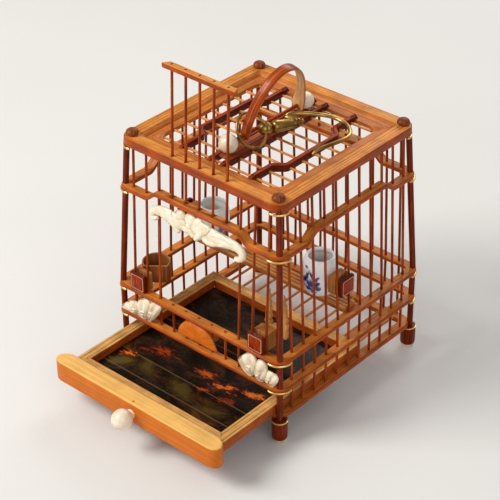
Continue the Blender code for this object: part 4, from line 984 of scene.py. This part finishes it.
def trayMember(side):
    # One mitred side of the tray frame; its section has rounded edges and two fine grooves along the top.
    d = drawer
    high, low, w, r, turn = d["trayHigh"], d["trayLow"], d["wall"], 0.5, quarter(5)
    section = np.vstack([columns(r - r * np.sin(turn), high - r + r * np.cos(turn)),
                         [(0, low + 0.3), (0.3, low), (w - 0.3, low), (w, low + 0.3)],
                         columns(w - r + r * np.cos(turn), high - r + r * np.sin(turn)),
                         [(4.72, high), (4.5, high - 0.22), (4.28, high), (1.92, high), (1.7, high - 0.22),
                          (1.48, high)]])
    tone = np.array([0.0, 0.4, 0.9, 1, 1] + [1] * 4 + [1, 1, 0.8, 0.5, 0.1] + [0.05, 0.8, 0.05] * 2)
    halfY = (d["trayBack"] - d["trayFront"]) / 2
    reach, across = (d["trayHalf"], halfY) if side % 2 == 0 else (halfY, d["trayHalf"])
    inset, height = section.T
    x = np.outer([-1, -1, -0.97, -0.5, 0, 0.5, 0.97, 1, 1], reach - inset)
    x[1] += 0.16
    x[-2] -= 0.16
    # the mitred end faces are drawn in a little, which leaves a fine groove at the joint
    drawn = np.array([1, 0, 0, 0, 0, 0, 0, 0, 1])[:, None]
    y = inset - across + drawn * np.clip(inset.mean() - inset, -0.14, 0.14)
    z = height + drawn * np.clip(height.mean() - height, -0.14, 0.14)
    points = turnZ(columns(x, y, z), side) + (0, (d["trayFront"] + d["trayBack"]) / 2, 0)
    return skin(points, v=loopLengths(section, True), tone=tone, uStart=53.0 * side)


def makeDrawer():
    d = drawer
    panel = makePiece("drawer_panel_board", [drawerPanel()], panelBamboo, body="drawer",
                      replaced="drawer_panel", angle=50)
    cutHoles(panel, [columns(0.0, d["pinPlace"], np.array([-5.0, 2.0]) + d["panelHigh"])], d["pinHole"])
    makePiece("tray_frame_members", [trayMember(side) for side in range(4)], trayBamboo, body="drawer",
              replaced="tray_frame", angle=40)
    inset = d["wall"] + 0.3
    x, y = np.meshgrid(np.linspace(inset - d["trayHalf"], d["trayHalf"] - inset, 60),
                       np.linspace(d["trayFront"] + inset, d["trayBack"] - inset, 60), indexing="ij")
    top = d["sheetHigh"] + 0.05 * np.sin(x * 0.23) * np.sin(y * 0.19 + 1)
    for seam in d["seams"]:
        top -= 0.18 * np.exp(-((y - seam) / 0.35) ** 2)
    under = columns(x, y, d["trayLow"] + 0.02)[:, ::-1]
    makePiece("tray_bottom_sheet", [skin(np.concatenate([columns(x, y, top), under], axis=1))], tortoise,
              body="drawer", replaced="tray_bottom")
    r, neck = d["knobRadius"], d["neck"]
    angle = np.linspace(0, np.pi - math.asin(neck / r), 40)
    reach = d["knobPlace"] - d["panelFront"]
    profile = np.vstack([columns(r * np.sin(angle), r * np.cos(angle)),
                         [(neck, reach + 0.25), (2.3, reach + 0.05), (2.3, reach), (0, reach)]])
    knob = turned(profile, (0, d["knobPlace"], d["knobLevel"]), (0, -1, 0), 48)
    makePiece("drawer_knob_ivory", [knob], ivory, body="drawer", replaced="drawer_knob")


perch = {"low": 47.3, "high": 49.7, "front": -2.9, "back": 6.3, "grooves": 3, "half": 48.95}


def makePerch():
    # A plank whose section has round grooves, slightly worn at its edges.
    low, high, front, back = perch["low"], perch["high"], perch["front"], perch["back"]
    section = [(front, low + 0.3), (front, high - 0.35), (front + 0.12, high - 0.1), (front + 0.35, high)]
    for index in range(perch["grooves"]):
        at = front + (back - front) / (perch["grooves"] + 1) * (index + 1)
        section += [(at - 0.42, high), (at - 0.3, high - 0.3), (at, high - 0.42), (at + 0.3, high - 0.3),
                    (at + 0.42, high)]
    section += [(back - 0.35, high), (back - 0.12, high - 0.1), (back, high - 0.35), (back, low + 0.3),
                (back - 0.3, low), (front + 0.3, low)]
    y, z = np.array(section).T
    half = perch["half"]
    x = np.concatenate([[-half, 0.05 - half, 0.35 - half], np.linspace(-47, 47, 24),
                        [half - 0.35, half - 0.05, half]])[:, None]
    pull = np.array([0.85, 0.96, 1.0] + [1.0] * 24 + [1.0, 0.96, 0.85])[:, None]
    bow = 0.08 * np.sin((x + 10) * 0.05)
    points = columns(x, y.mean() + (y - y.mean()) * pull + bow, z.mean() + (z - z.mean()) * pull)
    plank = skin(points, v=loopLengths(section + section[:1]), u=x[:, 0] + half,
                 tone=np.where(z > high - 0.15, 0.0, 0.7))
    makePiece("perch_plank", [plank], perchBamboo, replaced="perch")


holders = {
    "frontPlace": 37.5, "frontLevel": 51.9, "frontBack": -50.95, "sidePlace": -4.17, "sideLevel": 64.8,
    "sideBack": 50.4, "corner": 0.9,
    # half width, height and tone of a plaque from its back edge to its middle
    "plaque": ((4.3, 0.0, 0.0), (4.7, 0.05, 0.0), (4.82, 0.25, 0.0), (4.82, 0.95, 0.0), (4.7, 1.1, 0.0),
               (4.6, 1.15, 0.0), (4.6, 1.25, 0.0), (4.75, 1.35, 0.0), (4.75, 1.6, 0.0), (4.6, 1.85, 0.0),
               (4.3, 2.02, 0.0), (4.0, 2.08, 0.0), (3.97, 2.08, 1.0), (3.62, 2.09, 1.0), (3.6, 2.05, 0.0),
               (3.5, 1.9, 0.0), (3.42, 1.9, 0.45), (3.25, 2.05, 0.5), (2.9, 2.12, 0.5), (1.4, 2.15, 0.5),
               (0.05, 2.15, 0.5)),
    "blocks": {"block_front_left": ((-41.8, -48.65, 47.3), (-33.2, -46.45, 56.5)),
               "block_front_right": ((33.2, -48.65, 47.3), (41.8, -42.85, 56.5)),
               "block_left": ((-48.11, -8.77, 60.2), (-41.1, 0.43, 69.4)),
               "block_right": ((43.95, -8.77, 60.2), (48.11, 0.43, 69.4))},
}


def makeHolders():
    h = holders
    rows = []
    for half, height, _ in h["plaque"]:
        ring = roundedSquare(half, min(h["corner"], half * 0.9), 6)[:, 0]
        rows.append(columns(ring[:, 0], -height, ring[:, 1]))
    for name, side, where in (("front_left", 0, (-h["frontPlace"], h["frontBack"], h["frontLevel"])),
                              ("front_right", 0, (h["frontPlace"], h["frontBack"], h["frontLevel"])),
                              ("left", 3, (-h["sideBack"], h["sidePlace"], h["sideLevel"])),
                              ("right", 1, (h["sideBack"], h["sidePlace"], h["sideLevel"]))):
        plate = skin(turnZ(np.array(rows), side) + where, tone=np.array(h["plaque"])[:, 2:])
        makePiece("plaque_" + name + "_plate", [plate], plaqueWood, replaced="plaque_" + name)
    for name, (low, high) in h["blocks"].items():
        makePiece(name + "_wood", [block(low, high)], blockBamboo, replaced=name)


cups = {
    "low": 56.0, "height": 19.2, "wall": 1.1,
    "right": {"centre": (35.5, -4.17), "radius": 8.15, "mouth": 0.85, "hole": 0.68},
    "left": {"centre": (-33.0, -3.0), "radius": 7.8, "mouth": 0.86, "hole": 0.76},
}


def makeCup(name, material):
    h, w = cups["height"], cups["wall"]
    centre, r, mouth, hole = (cups[name][key] for key in ("centre", "radius", "mouth", "hole"))
    deep = 1 - 2 * w / r
    outer, lip, inner = (smoothLine(np.array(line) * (r, h), 4) for line in (
        [(0.78, 0), (0.83, 0.25 / h), (0.93, 0.12), (0.985, 0.32), (1, 0.58), (0.995, 0.76), (0.95, 0.885),
         (0.88, 0.95), (mouth, 0.985)],
        [(mouth, 0.985), (mouth - 0.03, 1), (hole + 0.04, 0.995), (hole + 0.01, 0.972), (hole, 0.94)],
        [(hole, 0.94), (0.77, 0.86), (deep, 0.74), (deep, 0.35), (0.70, 0.16), (0.3, 0.11),
         (0.001 / r, 0.10)]))
    profile = np.vstack([[0, 0.35], [0.62 * r, 0.35], [0.66 * r, 0], outer, lip[1:], inner[1:]])
    # the tone rises inside the cup towards its floor, where the glaze carries painted shade
    tone = np.concatenate([np.zeros(len(outer) + 3), np.linspace(0, 0.1, len(lip) - 1),
                           np.linspace(0.3, 1, len(inner) - 1)])
    cup = turned(profile, (*centre, cups["low"]), sides=56, tone=tone)
    makePiece("porcelain_cup_" + name + "_glazed", [cup], material, replaced="porcelain_cup_" + name)


scoop = {
    "centre": (-37.5, -39.5), "radius": 7.0, "chord": 4.2, "facing": -50.0, "highest": 58.25,
    # inset, height and tone from the underside over the rim to the floor inside
    "rows": ((3.0, 47.75, 0.4), (0.35, 47.75, 0.4), (0.08, 47.85, 0.4), (0, 48.15, 0.2), (0, 51, 0.1),
             (0, 54.5, 0.1), (0, 57.45, 0.1), (0.06, 57.8, 0.6), (0.2, 57.95, 1.0), (0.7, 57.95, 1.0),
             (0.84, 57.8, 0.8), (0.9, 57.45, 0.5), (0.9, 53, 0.6), (0.9, 49.25, 0.7), (1.4, 48.85, 0.7),
             (3.2, 48.85, 0.7)),
}


def makeScoop():
    # A cup with one flat side: circle and chord outlines, the rim worn lower at the front.
    c, s = math.cos(math.radians(scoop["facing"])), math.sin(math.radians(scoop["facing"]))
    facing = np.array([[c, s], [-s, c]])
    rows = []
    for inset, z, _ in scoop["rows"]:
        r, chord = scoop["radius"] - inset, scoop["chord"] - inset
        reach = math.acos(chord / r)
        turn = np.linspace(reach, 2 * np.pi - reach, 60)
        flat = columns(chord, r * math.sin(reach) * np.linspace(-1, 1, 14)[1:-1])
        ring = np.concatenate([columns(r * np.cos(turn), r * np.sin(turn)), flat]) @ facing
        worn = 0.45 * (ring / scoop["radius"] @ (-0.7, 0.7)) - 0.25 if z > 56 else 0.0
        rows.append(columns(*(ring + scoop["centre"]).T, np.minimum(z + worn, scoop["highest"])))
    points = np.array(rows)
    cup = skin(points, v=loopLengths(points[3, :, :2], True), tone=np.array(scoop["rows"])[:, 2:],
               u=loopLengths(columns(0, points[..., 2].mean(axis=1))))
    makePiece("scoop_bamboo_cup", [cup], scoopBamboo, replaced="scoop_cup")


fork = {
    "place": -41.26, "half": 1.3, "low": 57.2, "high": 76.2, "left": 34.5, "right": 47.0, "boardLow": 52.5,
    "boardHigh": 57.5, "spikes": ((35.9, 1), (45.6, -1)),
}


def makeFork():
    # Two worn spikes on a cross board: each is a stack of oblong rings that taper and lean a little.
    f = fork
    y, low = f["place"], f["low"]
    z = np.append(np.linspace(low, 75.0, 24), [75.6, 76.0, f["high"]])
    share = (z - low) / (f["high"] - low)
    skins = [block((f["left"], y - f["half"], f["boardLow"]),
                   (f["right"], y + f["half"], f["boardHigh"]), 0.5)]
    for x, sign in f["spikes"]:
        rough = 0.86 + 0.14 * np.sin(z * 1.9 + x) + 0.1 * np.sin(z * 4.7)
        width = (1.95 * (1 - share) ** 0.6 + 0.12) * rough
        depth = 1.3 * (1 - share) ** 0.45 + 0.1
        jag = 0.22 * np.sin(z * 1.7 + x) + 0.12 * np.sin(z * 3.9 + 2 * x)
        path = columns(x + sign * 0.5 * share + jag * (share > 0.05), y + 0.3 * jag, z)
        path = np.vstack([[path[0, 0], y, 56.0], path])
        size = np.vstack([[1.4, 1.25], columns(width, depth)])
        skins.append(sweep(path, rounded(3.0, 20), (0, -1, 0), size,
                           tone=np.linspace(0, 0.3, len(path))[:, None]))
    makePiece("fork_spikes", skins, forkBamboo, replaced="fork")


carvings = {
    "moon": ((12.2, 34.2), (11.4, 36.2), (9.9, 38.9), (8.4, 40.9), (6.4, 42.2), (3.8, 42.9), (0.2, 43.4),
             (-3.6, 43.7), (-6.9, 43.0), (-9.6, 40.7), (-12.0, 37.2), (-12.9, 34.4)),
    "moonBase": 33.8, "blockRadius": 6.2, "blockMiddle": (0, 36.2),
    # outline, middle, focus of the flutes, their number, and height of each lobe
    "left": ((((-49.6, 31.9), (-49.0, 33.8), (-46.6, 36.2), (-43.6, 38.2), (-40.6, 39.3), (-37.9, 39.7),
               (-36.6, 37.6), (-36.6, 34.6), (-38.0, 32.5), (-41.4, 31.8), (-45.0, 31.7)),
              (-42.4, 34.8), (-38.0, 30.6), 13, 2.0),
             (((-40.2, 36.6), (-38.4, 40.4), (-36.4, 42.6), (-33.4, 44.2), (-31.0, 44.2), (-29.2, 42.6),
               (-28.8, 39.4), (-30.4, 35.2), (-33.2, 32.2), (-36.2, 32.0), (-39.0, 33.4)),
              (-34.4, 37.8), (-33.4, 30.0), 11, 2.5),
             (((-31.4, 38.2), (-30.0, 42.8), (-27.6, 45.0), (-24.8, 45.8), (-22.8, 44.8), (-22.7, 42.6),
               (-24.4, 39.2), (-26.8, 35.6), (-29.6, 32.6), (-31.6, 32.2), (-33.0, 34.2)),
              (-27.8, 39.4), (-31.6, 31.0), 11, 2.2)),
    "right": ((((50.4, 39.2), (50.6, 36.4), (49.0, 33.2), (47.0, 31.7), (44.4, 32.4), (42.2, 34.4),
                (42.0, 37.6), (43.6, 39.6), (47.1, 39.9)), (46.2, 36.0), (44.0, 31.0), 12, 2.0),
              (((44.2, 41.4), (43.4, 43.0), (40.9, 43.8), (38.2, 42.6), (36.6, 39.6), (36.2, 35.8),
                (37.6, 32.8), (40.2, 31.7), (42.8, 33.2), (44.2, 37.0)), (40.4, 37.8), (38.6, 30.8),
               11, 2.5),
              (((38.0, 41.8), (36.4, 44.2), (33.8, 45.0), (30.4, 42.4), (28.0, 39.8), (26.9, 37.2),
                (28.3, 34.8), (31.0, 32.4), (34.4, 31.7), (37.2, 34.6), (38.4, 38.6)), (33.0, 38.6),
               (35.2, 30.6), 11, 2.3)),
}


def makeFrontCarvings():
    base, r = carvings["moonBase"], carvings["blockRadius"]
    outline = np.concatenate([smoothLine(carvings["moon"], 5), columns(np.linspace(-12.6, 11.9, 20), base)])
    makePiece("half_moon_plate", [pillow(outline, (0, 36.6), 1.5, 7.0, out=0.95)], moonWood,
              replaced="half_moon_plaque", angle=50)
    angle = np.linspace(0, np.pi, 30)
    ring = np.concatenate([columns(r * np.cos(angle), base + r * np.sin(angle)),
                           columns(np.linspace(-6.0, 6.0, 14), base)]) - carvings["blockMiddle"]
    rows = [columns(ring[:, 0] * scale, y, carvings["blockMiddle"][1] + ring[:, 1] * scale)
            for y, scale in ((-49.05, 0.94), (-49.0, 0.98), (-48.8, 1), (-43.3, 1), (-43.1, 0.98),
                             (-43.05, 0.94))]
    makePiece("half_moon_block_wood", [skin(rows)], blockBamboo, replaced="half_moon_block")
    turn = np.linspace(0, 4.6, 12)
    size = 1.5 - 0.22 * turn
    for name in ("left", "right"):
        skins = []
        for lobe, middle, focus, flutes, high in carvings[name]:
            skins.append(pillow(smoothLine(lobe, 8, closed=True), middle, 1.95 + high, 1.7, back=1.85,
                                flutes=flutes, depth=1.0, focus=focus))
            x, z = np.array(middle) + 0.34 * (np.array(focus) - middle)
            skins.append(strand(columns(x + size * np.cos(turn + 0.8), z + 0.6 + size * np.sin(turn + 0.8),
                                        0.42 - 0.04 * turn), 0.6, 1.75 + 0.85 * high, steps=3))
        makePiece("corner_carving_" + name + "_cloud", skins, ivory, replaced="corner_carving_" + name,
                  angle=55, merge=0.0001)


ties = {"radius": 0.62, "half": 53.3, "drop": 0.5}


def makeTies():
    # Brass wires bent round each outside corner, just under the rails
    shoulder = rails["shoulder"][0]
    inward = float(wallAt(shoulder)) + rails["lip"]
    for name, half, corner, low in (("strip", ties["half"], rails["corner"], rails["strip"][0]),
                                    ("lower", ties["half"], rails["corner"], rails["lower"][0]),
                                    ("shoulder", inward, rails["corner"], shoulder),
                                    ("frame", topFrame["half"], topFrame["corner"], topFrame["low"])):
        angle = np.linspace(-0.06, np.pi / 2 + 0.06, 30)
        r = corner - 0.15 - 1.2 * np.clip(np.abs(angle - np.pi / 4) - 0.62, 0, 1)
        centre = half - corner
        path = columns(centre + r * np.sin(angle), -(centre + r * np.cos(angle)), low - ties["drop"])
        wires = [wire(turnZ(path, turn), ties["radius"], blunt=0.4) for turn in range(4)]
        makePiece("brass_tie_" + name, wires, tieBrass)


def endGrainMaterial():
    # Dark end grain: closely set pale bundles in a brown ground
    material, tree = startMaterial("end_grain", "dark_bamboo", 0.6)
    cells = addNode(tree, "TexVoronoi", {"Vector": place(tree, 4), "Scale": 1.0}, "Distance")
    colour = ramp(tree, cells, (0.1, rgb(150, 92, 50)), (0.35, rgb(84, 40, 20)), (0.7, rgb(48, 20, 10)))
    return finishMaterial(material, colour, None, cells, 0.3, 0.08)


def plaqueMaterial():
    # Dark red polished wood; tone near 1 is the pale inlaid line and tone near a half the red-orange panel
    material, tree = startMaterial("plaque_wood", "mahogany", 0.28, Coat_Weight=0.06, Coat_Roughness=0.08,
                                   Specular_IOR_Level=0.1)
    tone = pieceTone(tree)
    grain = noise(tree, (0.7, 0.7, 4.5), 4, 0.6)
    stripes = noise(tree, (3.2, 3.2, 0.25), 2, 0.5)
    dark = ramp(tree, grain, (0.3, rgb(70, 16, 4)), (0.55, rgb(108, 32, 8)), (0.8, rgb(146, 56, 18)))
    centre = ramp(tree, stripes, (0.32, rgb(112, 26, 3)), (0.5, rgb(156, 52, 8)), (0.7, rgb(192, 84, 24)))
    inlay = ramp(tree, grain, (0.3, rgb(204, 132, 92)), (0.7, rgb(228, 168, 126)))
    colour = mix(tree, level(tree, tone, 0.3, 0.42), dark, centre)
    colour = mix(tree, 1.0, colour, (0.78, 0.66, 0.6), "MULTIPLY")
    colour = mix(tree, level(tree, tone, 0.7, 0.9), colour, inlay)
    return finishMaterial(material, colour, level(tree, grain, 0.3, 0.7, 0.22, 0.38), grain, 0.2, 0.06)


def brushed(tree, ragged, broken, centre, turns, scale, low, high, strength):
    # Strength of a ragged ellipse round a centre in mm: turned, scaled, and its edge broken by noise.
    local = addNode(tree, "VectorMath", {0: addNode(tree, "TexCoord", output="Object"),
                                         1: [v / 1000 for v in centre]}, operation="SUBTRACT")
    for turn in turns:
        local = addNode(tree, "Mapping", {"Vector": local, "Rotation": turn})
    scaled = addNode(tree, "Mapping", {"Vector": local, "Scale": scale})
    length = addNode(tree, "VectorMath", {0: scaled}, "Value", operation="LENGTH")
    edge = calc(tree, "MULTIPLY", calc(tree, "SUBTRACT", ragged, 0.5), broken)
    return level(tree, calc(tree, "ADD", length, edge), low, high, strength, 0.0)


shell = {
    # x, y, half length, half width, turn and strength
    "olive": ((-32.7, -69, 7, 4.4, 0.6, 0.85), (-20, -66, 8, 4, -0.3, 0.6), (4, -68, 11, 4.4, -0.3, 0.55),
              (24, -71, 9, 4, 0.3, 0.5), (-10, -20, 12, 5, 0.2, 0.4)),
    "flames": ((-35.6, -63.5, 4.6, 2.4, 0.5, 1.0), (-23, -51, 8, 3.2, 0.2, 0.6),
               (-31, -55.5, 6, 1.6, 0.2, 0.4), (3.5, -50.7, 7, 3.2, 0.1, 0.7),
               (18.5, -53, 8, 3.2, 0.2, 0.8), (33, -48.5, 7, 3, 0.3, 0.85),
               (12, -60, 5, 2, 0.3, 0.6), (26, -60, 6, 2, 0.3, 0.5), (24, -22, 9, 3.2, 0.2, 0.6),
               (-14, -36, 8, 3, 0, 0.55), (6, -38, 9, 2.4, 0.1, 0.5)),
}


def spots(tree, places, ragged):
    # the strongest of several ragged ellipses on the sheet
    total = None
    for x, y, long, wide, turn, strength in places:
        mask = brushed(tree, ragged, 4.6, (x, y + middleY, drawer["sheetHigh"]), [(0, 0, -turn)],
                       (1000 / long, 1000 / wide, 0), 0.25, 1.1, strength)
        total = mask if total is None else calc(tree, "MAXIMUM", total, mask)
    return total


def tortoiseMaterial():
    # Near-black shell with brown and olive clouds, flames of red and orange, and thin pale seams along x.
    material, tree = startMaterial("tortoiseshell", "tortoiseshell", 0.2, Coat_Weight=0.04,
                                   Coat_Roughness=0.08, IOR=1.3, Specular_IOR_Level=0.22)
    cloud = noise(tree, (0.07, 0.11, 0.1), 5, 0.62, 0.8)
    tongue = noise(tree, (0.2, 0.46, 0.3), 5, 0.66, 0.9)
    fleck = noise(tree, 0.6, 3, 0.6)
    ground = ramp(tree, cloud, (0.34, rgb(13, 8, 4)), (0.50, rgb(29, 18, 9)), (0.60, rgb(58, 36, 15)),
                  (0.72, rgb(82, 52, 22)))
    colour = mix(tree, spots(tree, shell["olive"], cloud), ground, rgb(92, 76, 30))
    flame = spots(tree, shell["flames"], tongue)
    fire = ramp(tree, flame, (0.05, rgb(26, 9, 4)), (0.3, rgb(86, 24, 4)), (0.62, rgb(156, 56, 8)),
                (0.92, rgb(220, 124, 34)))
    colour = mix(tree, level(tree, flame, 0.02, 0.25), colour, fire)
    colour = mix(tree, level(tree, fleck, 0.66, 0.74, 0, 0.2), colour, rgb(110, 92, 62))
    across = addNode(tree, "SeparateXYZ", {0: place(tree)}, 1)
    for seam in drawer["seams"]:
        near = calc(tree, "ABSOLUTE", calc(tree, "SUBTRACT", across, seam + middleY))
        colour = mix(tree, level(tree, near, 0.15, 0.45, 0.5, 0.0), colour, rgb(118, 94, 72))
    return finishMaterial(material, colour, level(tree, fleck, 0.3, 0.7, 0.16, 0.3), fleck, 0.06, 0.05)


def porcelainMaterial(name, insideShade, leaves):
    # White glaze with loose cobalt brush leaves and dots on its wall; deeper inside the cup the white goes
    # grey-green, painted shade.
    # Each leaf has its turn round the cup, height, half width, half height, lean and strength.
    material, tree = startMaterial(name + "_cup_glaze", "porcelain", 0.1, Coat_Weight=0.7,
                                   Coat_Roughness=0.04)
    glaze = noise(tree, 0.25, 3, 0.5)
    white = ramp(tree, glaze, (0.3, rgb(236, 240, 242)), (0.6, rgb(246, 248, 248)),
                 (0.8, rgb(252, 252, 250)))
    # painted shade: the tone greys the glaze inside the cup, most at its floor
    colour = mix(tree, pieceTone(tree), white, insideShade)
    ragged = noise(tree, (0.9, 0.9, 0.6), 4, 0.62, 0.5)
    (x, y), radius = cups[name]["centre"], 8.0
    for turn, up, width, height, lean, strength in leaves:
        where = (x + radius * math.cos(turn), y + radius * math.sin(turn) + middleY, cups["low"] + up)
        leaf = brushed(tree, ragged, 1.5, where, [(0, 0, -turn), (lean, 0, 0)],
                       (120, 1000 / width, 1000 / height), 0.6, 1.0, strength)
        colour = mix(tree, leaf, colour, rgb(24, 40, 124))
    return finishMaterial(material, colour, None, glaze, 0.05, 0.05)


endGrain = endGrainMaterial()
plaqueWood = plaqueMaterial()
tortoise = tortoiseMaterial()
rightGlaze = porcelainMaterial("right", rgb(204, 208, 204), (
    (-1.55, 6.4, 5.6, 4.6, 0.2, 0.5), (-1.75, 10.8, 1.2, 3.8, 0.5, 0.95),
    (-1.35, 11.4, 1.1, 3.6, -0.5, 0.95), (-1.98, 8.2, 1.6, 3.2, 0.9, 0.95),
    (-1.5, 7.0, 2.8, 2.4, 0.2, 0.95), (-1.1, 7.6, 2.2, 1.5, -0.8, 0.95),
    (-1.12, 10.0, 1.0, 3.0, 0.7, 0.9), (-1.62, 4.2, 2.8, 1.5, -0.3, 0.95), (-1.0, 5.0, 1.8, 1.8, 0.6, 0.85),
    (-2.2, 5.2, 2.0, 3.0, 0.3, 0.9), (-1.3, 3.0, 2.0, 1.2, 0.2, 0.8), (-1.8, 15.6, 1.6, 0.9, 0.1, 0.85),
    (1.6, 9.0, 2.0, 3.4, 0.4, 0.85), (2.0, 7.0, 1.5, 2.6, -0.4, 0.8)))
leftGlaze = porcelainMaterial("left", rgb(226, 230, 214), (
    (-0.3, 9.0, 2.2, 4.6, 0.3, 0.8), (-0.7, 6.0, 1.6, 3.2, -0.4, 0.75), (-0.1, 4.5, 2.4, 2.6, 0.2, 0.8),
    (-1.3, 3.6, 2.0, 2.4, 0.5, 0.8), (2.4, 9.0, 2.0, 3.4, 0.4, 0.85), (2.8, 7.0, 1.5, 2.6, -0.4, 0.8)))

print("door, drawer and fittings")
makeDoor()
makeDoorCarving()
makeDrawer()
makePerch()
makeHolders()
makeCup("right", rightGlaze)
makeCup("left", leftGlaze)
makeScoop()
makeFork()
makeFrontCarvings()
makeTies()
